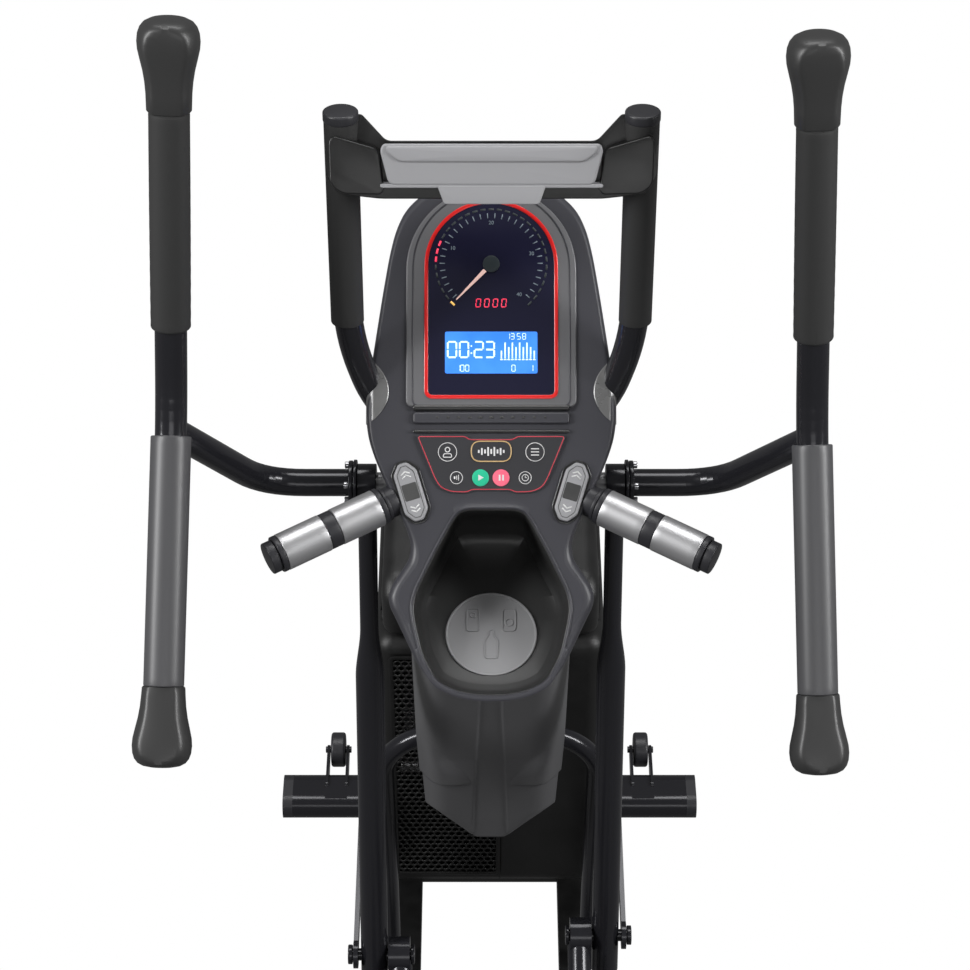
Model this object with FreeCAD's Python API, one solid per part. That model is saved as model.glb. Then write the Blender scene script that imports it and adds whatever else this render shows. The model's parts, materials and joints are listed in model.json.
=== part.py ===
"""Air-resisted cross trainer: a frame, a console, swinging arms with pedal legs, and a fan drive.

Millimetres. +X is the rider's right, +Y is forward and +Z is up. The design frame has its zero at the
floor under the rider's hands, and every shape is moved by CENTRE_Y when it is written.
"""
import FreeCAD
import Part
import math
import os

# Whole machine
CENTRE_Y = 46.5            # design y that becomes the middle of the machine
ARM_TILT = 1.5             # rest angle of the arms, left forward and right back, degrees
FIT = 0.05                 # radial clearance of a running fit
GAP = 0.3                  # clearance between bodies that pass each other

# Base
RAIL_X = (100.0, 142.0)
RAIL_Z = (28.0, 70.0)
FOOT_HALF = 318.0
FOOT_CAP = 15.0
FOOT_DEPTH = 72.0
FOOT_HEIGHT = 42.0
FRONT_FOOT_Y = 552.0
REAR_FOOT_Y = -530.0
WHEEL_X = 236.0
WHEEL_AXLE = (632.0, 36.0)
WHEEL_R = 27.0

# Arms: y, z of the pivots
ARM_AXIS = (204.0, 1054.0)
LEG_AXIS = (39.0, 369.0)
ARM_X = 150.0
HUB_X = (132.0, 154.0)
HUB_R = 22.0
SHAFT_R = 11.95
PIN_R = 8.0
GRIP_TOP = (326.6, 256.6, 1621.0)
GRIP_BEND = (346.0, 125.0, 1224.0)
GRIP_END = (355.4, -125.4, 972.6)
CROSS_END = (346.0, 116.0, 1215.0)
GRIP_BAR_R = 17.5
BULB_LENGTH = (75.0, 66.0)   # upper and lower end caps, from the bar's end
CROSS_R = 16.0

# Legs and their tracks
LEG_X = 116.0
LEG_R = 15.0
ROLLER_R = 32.0
ROLLER_AXIS = (-230.0, 199.0)
LEG_RATIO = -2.33          # leg angle on its arm, for each degree of the arm
ARM_SWING = 8.0
ROD_RATIO = -0.5
TRACK_X = (108.0, 142.0)

# Crank and fan: y, z of the axes
CRANK_AXIS = (370.0, 330.0)
CRANK_R = 125.0
FAN_AXIS = (440.0, 500.0)
FAN_R = 135.0
FAN_X = (-120.0, -40.0)
BELT_X = (42.0, 56.0)
PLATE_X = ((-136.0, -124.0), (62.0, 74.0))
PULLEY_R = 88.0
PINION_R = 18.0
BELT_T = 3.0

# Housing
HOUSING_HALF = 150.0
HOUSING_SPLIT = 14.0
HOUSING_LOWER = [(258, 196), (305, 658), (572, 658), (608, 560), (604, 380), (560, 196)]
HOUSING_CAP = [(305.4, 662), (313, 735), (336, 752), (470, 746), (545, 710), (571, 662)]
CAP_HALF = 140.0
GRILLE_X = (-130.0, 11.0)
GRILLE_Z = (222.0, 636.0)
GRILLE_PITCH = 16.0
GRILLE_CELL = 7.2           # from a cell's centre to its corners
WALL = 4.0

# Console plane: its zero is at the middle of the keypad's upper edge
CONSOLE_ZERO = (0.0, 145.0, 1109.0)
CONSOLE_TILT = 40.0
CONSOLE_T = 52.0
CONSOLE_WALL = 3.5
ROCKER_CENTRE = (90.0, -8.0)
ROCKER_LEAN = 17.0
ROCKER_HALF = (14.0, 34.0)

# Handlebar and rack
UPRIGHT_X = 159.0
ARCH_TOP = 588.0
MAST_LOW = 562.0
UPRIGHT_R = 16.0
SLEEVE_R = 18.5
PULSE_BAR = ((105, 144, 1089), (249, 64, 1073))
PULSE_R = 18.0
PULSE_END = 152.8           # length of the bar under its rings
RACK_ZERO = (0.0, 255.0, 1429.0)
RACK_TILT = 57.5

X_AXIS = FreeCAD.Vector(1, 0, 0)


def vec(x, y, z):
    """A vector from three numbers."""
    return FreeCAD.Vector(x, y, z)


def fuse(shapes):
    """One solid from shapes that touch or overlap."""
    first, rest = shapes[0], shapes[1:]
    return first.multiFuse(rest).removeSplitter() if rest else first


def both_sides(shape):
    """The shape and its mirror image across the middle plane, as a group."""
    return Part.makeCompound([shape, shape.mirror(vec(0, 0, 0), X_AXIS)])


def mirror(shape):
    """The shape's mirror image across the middle plane."""
    return shape.mirror(vec(0, 0, 0), X_AXIS)


def box(x, y, z):
    """A box from its x, y and z ranges."""
    return Part.makeBox(x[1] - x[0], y[1] - y[0], z[1] - z[0], vec(x[0], y[0], z[0]))


def rod(start, end, radius):
    """A round bar from one point to another."""
    way = end - start
    return Part.makeCylinder(radius, way.Length, start, way)


def disc(x, axis, radius, bore=0.0):
    """A disc or ring whose axis runs along X at (y, z)."""
    ring = Part.makeCylinder(radius, x[1] - x[0], vec(x[0], *axis), X_AXIS)
    if bore:
        ring = ring.cut(Part.makeCylinder(bore, x[1] - x[0], vec(x[0], *axis), X_AXIS))
    return ring


def bent_bar(points, radius, bend):
    """A round bar along straight runs that are joined by tangent arcs."""
    pieces, start = [], points[0]
    for before, corner, after in zip(points, points[1:], points[2:]):
        back = (before - corner).normalize()
        ahead = (after - corner).normalize()
        half = back.getAngle(ahead) / 2
        reach = bend / math.tan(half)
        arc_start = corner + back * reach
        centre = corner + (back + ahead).normalize() * (bend / math.sin(half))
        pieces.append(rod(start, arc_start, radius))
        section = Part.Face(Part.Wire(Part.makeCircle(radius, arc_start, back)))
        pieces.append(section.revolve(centre, ahead.cross(back), 180 - math.degrees(2 * half)))
        start = corner + ahead * reach
    pieces.append(rod(start, points[-1], radius))
    return fuse(pieces)


def outline_face(points, rounding=0.0):
    """A flat face with the given corner points, each corner rounded."""
    corners = [vec(*p) for p in points]
    if not rounding:
        return Part.Face(Part.makePolygon(corners + corners[:1]))
    edges, ends = [], []
    count = len(corners)
    for i, corner in enumerate(corners):
        back = (corners[i - 1] - corner)
        ahead = (corners[(i + 1) % count] - corner)
        room = 0.45 * min(back.Length, ahead.Length)
        back.normalize()
        ahead.normalize()
        half = back.getAngle(ahead) / 2
        radius = min(rounding, room * math.tan(half))
        reach = radius / math.tan(half)
        middle_way = (back + ahead).normalize()
        centre = corner + middle_way * (radius / math.sin(half))
        ends.append((corner + back * reach, corner + ahead * reach))
        edges.append(Part.Arc(ends[-1][0], centre - middle_way * radius, ends[-1][1]).toShape())
    loop = []
    for i in range(count):
        loop.append(edges[i])
        loop.append(Part.LineSegment(ends[i][1], ends[(i + 1) % count][0]).toShape())
    return Part.Face(Part.Wire(loop))


def side_plate(points, x, rounding=0.0):
    """A plate whose outline is in y, z and whose thickness runs along X."""
    face = outline_face([(x[0], y, z) for y, z in points], rounding)
    return face.extrude(vec(x[1] - x[0], 0, 0))


def flat_plate(points, depth, rounding=0.0):
    """A plate in local x, y, with its thickness from depth[0] to depth[1] along local z."""
    face = outline_face([(x, y, depth[0]) for x, y in points], rounding)
    return face.extrude(vec(0, 0, depth[1] - depth[0]))


def mirrored(points):
    """The full outline from its right half, listed from top to bottom."""
    return points + [(-x, y) for x, y in reversed(points) if x > 0.01]


def turned(axis, start, angle):
    """The y, z point that start reaches when it turns about axis, in degrees about +X."""
    c, s = math.cos(math.radians(angle)), math.sin(math.radians(angle))
    dy, dz = start[0] - axis[0], start[1] - axis[1]
    return axis[0] + dy * c - dz * s, axis[1] + dy * s + dz * c


def turn(shape, axis, angle):
    """A copy of the shape turned about an X-wise axis."""
    copy = shape.copy()
    copy.rotate(vec(0, *axis), X_AXIS, angle)
    return copy


def roller_place(angle):
    """Where the roller's axle is when the arm stands at this angle."""
    hip = turned(ARM_AXIS, LEG_AXIS, angle)
    carried = turned(ARM_AXIS, ROLLER_AXIS, angle)
    return turned(hip, carried, LEG_RATIO * angle)


# ---------------------------------------------------------------- base

def oval_foot(y, x):
    """A flat oval tube across the machine."""
    r = FOOT_HEIGHT / 2
    flat = FOOT_DEPTH / 2 - r
    bar = box(x, (y - flat, y + flat), (0, FOOT_HEIGHT))
    ends = [disc(x, (y + side * flat, r), r) for side in (-1, 1)]
    return fuse([bar] + ends)


def foot_caps():
    """Rubber ends of the two feet."""
    span = (FOOT_HALF - FOOT_CAP, FOOT_HALF)
    caps = [both_sides(oval_foot(y, span)) for y in (FRONT_FOOT_Y, REAR_FOOT_Y)]
    return Part.makeCompound(caps)


def foot_tube(y):
    """The steel part of a foot, between its caps."""
    return oval_foot(y, (-FOOT_HALF + FOOT_CAP, FOOT_HALF - FOOT_CAP))


def base_frame(feet):
    """Two rails along the machine and two cross members."""
    rail = box(RAIL_X, (REAR_FOOT_Y, FRONT_FOOT_Y), RAIL_Z)
    cross = [box((-RAIL_X[0] - 1, RAIL_X[0] + 1), y, RAIL_Z) for y in ((100, 160), (385, 450))]
    frame = fuse([rail, mirror(rail)] + cross)
    for foot in feet:
        frame = frame.cut(foot)
    return frame


def levelling_feet(rear_foot):
    """Two round pads beside the rear foot's ends."""
    pad = Part.makeCylinder(16, 6, vec(230, REAR_FOOT_Y + 55, 0))
    stem = Part.makeCylinder(5, 30, vec(230, REAR_FOOT_Y + 55, 5))
    tab = box((215, 245), (REAR_FOOT_Y + 15, REAR_FOOT_Y + 68), (24, 29))
    return both_sides(fuse([pad, stem, tab]).cut(rear_foot))


def wheel_brackets(front_foot):
    """A fork each side that carries a transport wheel in front of the foot."""
    y, z = WHEEL_AXLE
    plates = []
    for x in (WHEEL_X - 17, WHEEL_X + 13):
        shape = [(FRONT_FOOT_Y + 8, 12), (y, z - 10), (y + 10, z), (y, z + 10), (FRONT_FOOT_Y, 46)]
        plates.append(side_plate(shape, (x, x + 4), 6))
    axle = disc((WHEEL_X - 20, WHEEL_X + 20), WHEEL_AXLE, 5)
    bridge = box((WHEEL_X - 17, WHEEL_X + 17), (FRONT_FOOT_Y - 20, FRONT_FOOT_Y + 22), (36, 42))
    return both_sides(fuse(plates + [axle, bridge]).cut(front_foot))


def transport_wheel():
    """A wheel with a rounded tread and a bore."""
    tyre = disc((WHEEL_X - 11, WHEEL_X + 11), WHEEL_AXLE, WHEEL_R)
    tyre = tyre.makeFillet(4, [e for e in tyre.Edges if abs(e.Length - 2 * math.pi * WHEEL_R) < 1])
    return tyre.cut(disc((WHEEL_X - 12, WHEEL_X + 12), WHEEL_AXLE, 5 + FIT))


def track_top():
    """Points under the roller's path, a roller's radius and a small gap away from it."""
    points = []
    for step in range(-12, 13):
        y, z = roller_place(step)
        ahead, behind = roller_place(step + 0.5), roller_place(step - 0.5)
        way = vec(0, ahead[0] - behind[0], ahead[1] - behind[1]).normalize()
        down = vec(0, -way.z, way.y)
        if down.z > 0:
            down = down * -1
        points.append(vec(TRACK_X[0], y, z) + down * (ROLLER_R + GAP))
    return sorted(points, key=lambda p: p.y)


def roller_track():
    """A sloping track on two posts. Its top runs just under the roller's path."""
    under, post, width = 22.0, 30.0, TRACK_X[1] - TRACK_X[0]
    tops = track_top()
    low, high = tops[0], tops[-1]
    curve = Part.BSplineCurve()
    curve.interpolate(tops)
    path = [high, vec(high.x, high.y, RAIL_Z[1]), vec(high.x, high.y - post, RAIL_Z[1]),
            vec(high.x, high.y - post, high.z - under), vec(low.x, low.y + post, low.z - under),
            vec(low.x, low.y + post, RAIL_Z[1]), vec(low.x, low.y, RAIL_Z[1]), low]
    lines = [Part.LineSegment(p, q).toShape() for p, q in zip(path, path[1:])]
    face = Part.Face(Part.Wire([curve.toShape()] + lines))
    return face.extrude(vec(width, 0, 0))


# ---------------------------------------------------------------- mast and handlebar

def arch_brace():
    """A tube hoop that stands on the rails and holds the mast."""
    x, y, top, r = 139.0, 212.0, ARCH_TOP, 13.0
    path = [vec(-x, y, RAIL_Z[1]), vec(-x, y, 541), vec(-x + 45, y, top), vec(x - 45, y, top),
            vec(x, y, 541), vec(x, y, RAIL_Z[1])]
    return bent_bar(path, r, 55)


def in_console(shape):
    """Moves a shape from the console's own plane to its place."""
    copy = shape.copy()
    copy.Placement = FreeCAD.Placement(vec(*CONSOLE_ZERO), FreeCAD.Rotation(X_AXIS, CONSOLE_TILT)) \
        .multiply(copy.Placement)
    return copy


def in_rack(shape):
    """Moves a shape from the rack's own plane to its place."""
    copy = shape.copy()
    copy.Placement = FreeCAD.Placement(vec(*RACK_ZERO), FreeCAD.Rotation(X_AXIS, RACK_TILT)) \
        .multiply(copy.Placement)
    return copy


def mast(arch):
    """The upright box tube on the hoop's top, cut to the console's back."""
    post = box((-25, 25), (188, 236), (MAST_LOW, 1140))
    hollow = box((-21.5, 21.5), (191.5, 232.5), (ARCH_TOP + 30, 1030))
    above = in_console(box((-200, 200), (-400, 400), (-CONSOLE_T - 3, 300)))
    hole = disc((-30, 30), ARM_AXIS, SHAFT_R)
    return post.cut(hollow).cut(above).cut(arch).cut(hole)


def handlebar_points():
    """Corner points of the fixed handlebar's right half, from its top to the mast."""
    return [vec(UPRIGHT_X, 300, 1500), vec(UPRIGHT_X, 246, 1244), vec(132, 240, 1150),
            vec(88, 254.5, 1085), vec(0, 254.5, 1085)]


def static_handlebar():
    """The fixed handlebar: two uprights and the tube that joins them."""
    right = handlebar_points()
    left = [vec(-p.x, p.y, p.z) for p in right[:-1]]
    return bent_bar(right[:-1] + left[::-1], UPRIGHT_R, 38)


def upright_part(start, end, radius, bore):
    """A ring round the upright between two distances from its top."""
    top, bend = handlebar_points()[:2]
    way = (bend - top).normalize()
    ring = rod(top + way * start, top + way * end, radius)
    return ring.cut(rod(top + way * (start - 1), top + way * (end + 1), bore)) if bore else ring


def rack_shapes():
    """The rack's back with its wings, and the ledge in front of it."""
    back = flat_plate(mirrored([(108, 62), (112, 54), (172, 54), (166, 15), (112, 8)]), (-4, 0), 6)
    ledge = box((-117, 117), (13, 17), (0, 26))
    wall = flat_plate(mirrored([(117, 57), (110, 13)]), (22, 26), 6)
    tab = flat_plate(mirrored([(57, 16), (50, -4)]), (22, 26), 4)
    return in_rack(back), in_rack(fuse([ledge, wall, tab]))


# ---------------------------------------------------------------- console

def console_outline(inset=0.0):
    """The console's outline. Its sides pull in below the keypad and swell around the tray."""
    half = [(52, 346), (80, 331), (97, 315), (115, 262), (131, 163), (141, 100), (138, 50),
            (93, -67), (114, -127), (101, -162), (65, -223), (20, -241)]
    face = outline_face([(x, y, 0) for x, y in mirrored(half)], 30)
    if inset:
        face = Part.Face(face.OuterWire.makeOffset2D(-inset))
    return face


def well_outline(inset=0.0):
    """The outline of the tray's mouth."""
    half = [(32, -29), (62, -85), (86, -163), (72, -205), (36, -230)]
    face = outline_face([(x, y, 0) for x, y in mirrored(half)], 22)
    if inset:
        face = Part.Face(face.OuterWire.makeOffset2D(-inset))
    return face


def rise(face, low, high):
    """Extrudes a face of the console's plane between two heights."""
    copy = face.copy()
    copy.translate(vec(0, 0, low))
    return copy.extrude(vec(0, 0, high - low))


def display_arch(half_width, low, centre):
    """The display's outline: straight sides and a round top."""
    left, right = vec(-half_width, low, 0), vec(half_width, low, 0)
    left_top, right_top = vec(-half_width, centre, 0), vec(half_width, centre, 0)
    edges = [Part.LineSegment(left, right).toShape(), Part.LineSegment(right, right_top).toShape(),
             Part.Arc(right_top, vec(0, centre + half_width, 0), left_top).toShape(),
             Part.LineSegment(left_top, left).toShape()]
    return Part.Face(Part.Wire(edges))


def rocker_blank(grow, low, high):
    """A long hexagon beside the keypad, grown by the given margin."""
    w, h = ROCKER_HALF[0] + grow, ROCKER_HALF[1] + grow
    corner = 12
    outline = [(0, h), (w, h - corner), (w, corner - h), (0, -h), (-w, corner - h), (-w, h - corner)]
    shape = flat_plate(outline, (low, high), 3)
    shape.rotate(vec(0, 0, 0), vec(0, 0, 1), -ROCKER_LEAN)
    shape.translate(vec(ROCKER_CENTRE[0], ROCKER_CENTRE[1], 0))
    return shape


def handlebar_room():
    """The fixed handlebar with a small gap round it, for cutting the pieces that it passes through."""
    right = handlebar_points()
    left = [vec(-p.x, p.y, p.z) for p in right[:-1]]
    return bent_bar(right[:-1] + left[::-1], UPRIGHT_R + GAP, 38)


def rocker_bore():
    """The hole of the rocker's pivot pin, across the rocker at the level of the console's face."""
    lean = math.radians(ROCKER_LEAN)
    across = vec(math.cos(lean), -math.sin(lean), 0)
    middle = vec(ROCKER_CENTRE[0], ROCKER_CENTRE[1], 1)
    return rod(middle - across * 20, middle + across * 20, 1.5)


def console_shell():
    """The console's front: a shell with openings for the tray and the rockers."""
    outer = rise(console_outline(), -CONSOLE_T, 0)
    inner = rise(console_outline(CONSOLE_WALL), -CONSOLE_T - 1, -CONSOLE_WALL)
    shell = outer.cut(inner).cut(rise(well_outline(), -CONSOLE_T - 1, 1))
    pocket = rocker_blank(1.0, -10, 1)
    return in_console(shell.cut(pocket).cut(mirror(pocket))).cut(handlebar_room())


def console_back():
    """The plate that closes the console from behind."""
    plate = rise(console_outline(), -CONSOLE_T - 3, -CONSOLE_T)
    plate = plate.cut(rise(well_outline(), -CONSOLE_T - 4, -CONSOLE_T + 1))
    return in_console(plate).cut(handlebar_room())


def well_block(inset, floor_lift, forward_limit):
    """The space inside the tray, down to its sloping floor and back to its front wall."""
    column = in_console(rise(well_outline(inset), -150, 0.5))
    floor = box((-200, 200), (-300, 400), (0, 400))
    floor.rotate(vec(0, 0, 0), X_AXIS, 16)
    floor.translate(vec(0, 69, 945 + floor_lift))
    return column.common(floor).common(box((-200, 200), (-300, forward_limit), (800, 1300)))


def tray():
    """The accessory tray: a cup that hangs in the console's mouth."""
    return well_block(0.1, 0, 184).cut(well_block(3.4, 3, 180.5))


def tray_mat():
    """A round mat on the tray's floor."""
    mat = Part.makeCylinder(52, 3, vec(0, 0, 3))
    mat.rotate(vec(0, 0, 0), X_AXIS, 16)
    mat.translate(vec(0, 69, 945))
    return mat.common(well_block(3.5, 2.9, 180))


def vent_bar():
    """A bar with eleven upright slots."""
    bar = flat_plate([(-94, 67), (94, 67), (94, 86), (-94, 86)], (0, 3), 4)
    for i in range(11):
        x = (i - 5) * 15.5
        bar = bar.cut(box((x - 5.5, x + 5.5), (71, 82), (1, 4)))
    return in_console(bar)


def keypad():
    """A membrane panel with its keys standing a little proud."""
    half = [(29, 55), (83, 55), (62, 4.5), (48, -9), (27, -10), (21, -5.6)]
    panel = flat_plate([(24, 50.5)] + half + [(-x, y) for x, y in reversed(half)] + [(-24, 50.5)], (0, 1.2))
    keys = [(-49, 37, 10.5), (49, 37, 10.5), (-39, 8, 6.7), (-12, 8, 9), (11, 8, 9), (38, 8, 6.7)]
    domes = [Part.makeCylinder(r, 1.4, vec(x, y, 1)) for x, y, r in keys]
    pill = flat_plate([(-22, 26), (22, 26), (22, 49), (-22, 49)], (1, 2.4), 11)
    return in_console(fuse([panel, pill] + domes))


def pulse_bar():
    """The right heart-rate bar, from the console's side outwards."""
    start, end = [vec(*p) for p in PULSE_BAR]
    way = (end - start).normalize()
    bar = rod(start - way * 8, start + way * PULSE_END, PULSE_R)
    bar = bar.cut(in_console(rise(console_outline(), -CONSOLE_T - 3, 0)))
    return bar.cut(in_console(rocker_blank(2.0, -14, 12)))


def pulse_ring(start, end, radius, bore):
    """A ring on the right heart-rate bar."""
    a, b = [vec(*p) for p in PULSE_BAR]
    way = (b - a).normalize()
    ring = rod(a + way * start, a + way * end, radius)
    return ring.cut(rod(a + way * (start - 1), a + way * (end + 1), bore)) if bore else ring


# ---------------------------------------------------------------- covers

def cover_section(z, half, rear, front):
    """A level section of the mast cover, with its rear corners cut off."""
    slope = 0.35 * half
    shoulder = min(rear + slope, front - 6)
    points = [(half, front), (half, shoulder), (half - slope, rear), (slope - half, rear),
              (-half, shoulder), (-half, front)]
    return Part.makePolygon([vec(x, y, z) for x, y in points + points[:1]])


def mast_cover(tray_block, console_block):
    """A shield-shaped shell behind the mast."""
    levels = [(417, 25, 172), (462, 84, 168), (600, 93, 158), (700, 96, 140), (800, 98, 120), (975, 100, 88)]
    outer = Part.makeLoft([cover_section(z, w, r, 186) for z, w, r in levels], True, True)
    inner = Part.makeLoft([cover_section(z + WALL, w - WALL, r + WALL, 192)
                           for z, w, r in levels], True, True)
    return outer.cut(inner).cut(tray_block).cut(console_block)


def grille_place(shape):
    """Moves a shape from a flat plane, x across and y up, onto the housing's rear face."""
    lean = math.degrees(math.atan2(658 - 196, 305 - 258))
    copy = shape.copy()
    copy.rotate(vec(0, 0, 0), X_AXIS, lean)
    copy.translate(vec(0, 258, 196))
    return copy


def grille_window(margin, depth):
    """The block that the rear grille fills."""
    x = (GRILLE_X[0] - margin, GRILLE_X[1] + margin)
    y = (GRILLE_Z[0] - 196 - margin, GRILLE_Z[1] - 196 + margin)
    return grille_place(box(x, y, depth))


def housing_side(x, closed):
    """One side of the lower housing, open above and below; closed is the side of its cheek, -1 or 1."""
    outer = side_plate(HOUSING_LOWER, x, 12)
    hollow = [(258 + WALL, 150), (258 + WALL, 196), (305 + WALL, 682), (572 - WALL, 682),
              (608 - WALL, 560), (604 - WALL, 380), (560 - WALL, 196), (560 - WALL, 150)]
    span = (x[0] - 1, x[1] - WALL) if closed > 0 else (x[0] + WALL, x[1] + 1)
    shaft_hole = disc((x[0] - 2, x[1] + 2), CRANK_AXIS, 17)
    return outer.cut(side_plate(hollow, span)).cut(shaft_hole)


def housing_cap():
    """The top of the housing, open below."""
    hollow = [(305.4 + WALL, 650), (313 + WALL, 735), (336, 752 - WALL), (470, 746 - WALL),
              (545 - WALL, 710 - WALL), (571 - WALL, 650)]
    cap = side_plate(HOUSING_CAP, (-CAP_HALF, CAP_HALF), 14)
    return cap.cut(side_plate(hollow, (-CAP_HALF + WALL, CAP_HALF - WALL)))


def rear_grille():
    """A flat honeycomb panel in the housing's rear face."""
    low, high = (GRILLE_X[0], GRILLE_Z[0] - 196), (GRILLE_X[1], GRILLE_Z[1] - 196)
    corners = [vec(x, y, 0) for x, y in (low, (high[0], low[1]), high, (low[0], high[1]))]
    wires = [Part.makePolygon(corners + corners[:1])]
    row_step = GRILLE_PITCH * math.sqrt(3) / 2
    rows = int((high[1] - low[1] - GRILLE_PITCH) / row_step)
    columns = int((high[0] - low[0] - GRILLE_PITCH) / GRILLE_PITCH)
    for row in range(rows):
        for column in range(columns):
            x = low[0] + 14 + (column + (row % 2) / 2) * GRILLE_PITCH
            y = low[1] + 14 + row * row_step
            if x > high[0] - 10:
                continue
            angles = [math.radians(60 * k) for k in range(6)]
            cell = [vec(x + GRILLE_CELL * math.sin(a), y + GRILLE_CELL * math.cos(a), 0) for a in angles]
            wires.append(Part.makePolygon(cell + cell[:1]))
    return grille_place(Part.Face(wires).extrude(vec(0, 0, -3)))


# ---------------------------------------------------------------- drive

def drive_frame():
    """Two plates that hold the bearings, standing on the front cross member."""
    y, z = FAN_AXIS
    low, high = 388, 446
    crank_y, crank_z = CRANK_AXIS
    shape = [(low, RAIL_Z[1]), (high, RAIL_Z[1]), (high, crank_z), (y + 24, z), (y, z + 30), (y - 24, z),
             (crank_y - 34, crank_z + 20), (crank_y - 34, crank_z - 25)]
    plates = []
    for x in PLATE_X:
        plate = side_plate(shape, x, 8)
        plates.append(plate.cut(disc(x, CRANK_AXIS, 24)).cut(disc(x, FAN_AXIS, 16)))
    tie = box((PLATE_X[0][1], PLATE_X[1][0]), (low + 5, high - 5), (RAIL_Z[1], RAIL_Z[1] + 6))
    return fuse(plates + [tie])


def bearings():
    """Ball bearings of the crankshaft and of the fan shaft, drawn as rings."""
    crank = [disc(x, CRANK_AXIS, 24, 12.5 + FIT) for x in PLATE_X]
    fan = [disc(x, FAN_AXIS, 16, 8 + FIT) for x in PLATE_X]
    return Part.makeCompound(crank + fan)


def belt_loop(grow, x):
    """The filled outline of the belt: two circles and the strip between them."""
    a, b = vec(x[0], *CRANK_AXIS), vec(x[0], *FAN_AXIS)
    ra, rb = PULLEY_R + grow, PINION_R + grow
    way = b - a
    apart = way.Length
    way.normalize()
    across = vec(0, -way.z, way.y)
    cos_t = (ra - rb) / apart
    sin_t = math.sqrt(1 - cos_t ** 2)
    corners = [a + (way * cos_t + across * sin_t) * ra, b + (way * cos_t + across * sin_t) * rb,
               b + (way * cos_t - across * sin_t) * rb, a + (way * cos_t - across * sin_t) * ra]
    strip = Part.Face(Part.makePolygon(corners + corners[:1])).extrude(vec(x[1] - x[0], 0, 0))
    return fuse([strip, disc(x, CRANK_AXIS, ra), disc(x, FAN_AXIS, rb)])


def crank_pulley():
    """The large pulley, lightened by five round holes."""
    wheel = disc(BELT_X, CRANK_AXIS, PULLEY_R, 12.5)
    for k in range(5):
        turn_angle = math.radians(72 * k)
        place = (CRANK_AXIS[0] + 55 * math.cos(turn_angle), CRANK_AXIS[1] + 55 * math.sin(turn_angle))
        wheel = wheel.cut(disc(BELT_X, place, 20))
    return wheel


def fan_rotor():
    """A bladed wheel: two rings, a hub plate and curved blades as leaning slabs."""
    x0, x1 = FAN_X
    hub = disc((x0, x1), FAN_AXIS, 26, 8)
    plate = disc((-82, -78), FAN_AXIS, FAN_R - 2, 20)
    blades = []
    for k in range(18):
        blade = box((x0 + 4, x1 - 4), (FAN_AXIS[0] + 70, FAN_AXIS[0] + FAN_R - 1),
                    (FAN_AXIS[1] - 1.5, FAN_AXIS[1] + 1.5))
        blade.rotate(vec(0, FAN_AXIS[0] + 70, FAN_AXIS[1]), X_AXIS, 24)
        blades.append(turn(blade, FAN_AXIS, 20 * k))
    return fuse([hub, plate] + blades)


# ---------------------------------------------------------------- arms and legs

def arm_frame():
    """The right arm: hub, lower arm, cross tube and grip bar, with the leg's pin."""
    hip = vec(ARM_X, *LEG_AXIS)
    top = vec(143, *ARM_AXIS)
    way = (hip - top).normalize()
    hub = disc(HUB_X, ARM_AXIS, HUB_R)
    flanges = [disc((154, 158), ARM_AXIS, 27), disc((158.0, 164), ARM_AXIS, 24)]
    upper = rod(top, top + way * 200, 11)
    cone = Part.makeCone(11, 17.5, 70, top + way * 200, way)
    lower = rod(top + way * 270, hip + way * 60, 17.5)
    cross = bent_bar([vec(160, *ARM_AXIS), vec(255, *ARM_AXIS), vec(*CROSS_END)], CROSS_R, 60)
    bar = bent_bar([vec(*GRIP_TOP), vec(*GRIP_BEND), vec(*GRIP_END)], GRIP_BAR_R, 60)
    pin = disc((102, 183), LEG_AXIS, PIN_R)
    heads = [disc((98, 103), LEG_AXIS, 13), disc((178, 184), LEG_AXIS, 13)]
    whole = fuse([hub, upper, cone, lower, cross, bar, pin] + flanges + heads)
    return whole.cut(disc((131, 162), ARM_AXIS, SHAFT_R + FIT))


def grip_ring(start, end, radius, bore, lower=False):
    """A sleeve round the grip bar. Distances run from the bar's top, or from its lower end."""
    a, b = (GRIP_END, GRIP_BEND) if lower else (GRIP_TOP, GRIP_BEND)
    a, b = vec(*a), vec(*b)
    way = (b - a).normalize()
    ring = rod(a + way * start, a + way * end, radius)
    return ring.cut(rod(a + way * (start - 1), a + way * (end + 1), bore)) if bore else ring


def bulb(lower=False):
    """A flared end cap with a flattened crown."""
    a, b = (GRIP_END, GRIP_BEND) if lower else (GRIP_TOP, GRIP_BEND)
    a, b = vec(*a), vec(*b)
    way = (b - a).normalize()
    length = BULB_LENGTH[1] if lower else BULB_LENGTH[0]
    profile = [(0, -22), (20, -22), (30, -12), (33, 4), (31, 22), (25, 48), (23, length), (17.6, length),
               (17.6, 0), (0, 0)]
    points = [vec(r, 0, h) for r, h in profile]
    solid = Part.Face(Part.makePolygon(points + points[:1])).revolve(vec(0, 0, 0), vec(0, 0, 1), 360)
    solid.Placement = FreeCAD.Placement(a, FreeCAD.Rotation(vec(0, 0, 1), way))
    return solid


def arm_bolts():
    """Bolt heads in the flange of the right arm, and the weld tab beside it."""
    heads = []
    for angle in (35, 145, 215, 325):
        y = ARM_AXIS[0] + 21 * math.cos(math.radians(angle))
        z = ARM_AXIS[1] + 21 * math.sin(math.radians(angle))
        heads.append(disc((164, 169), (y, z), 4).cut(disc((160, 170), ARM_AXIS, CROSS_R)))
    return Part.makeCompound(heads)


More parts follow.
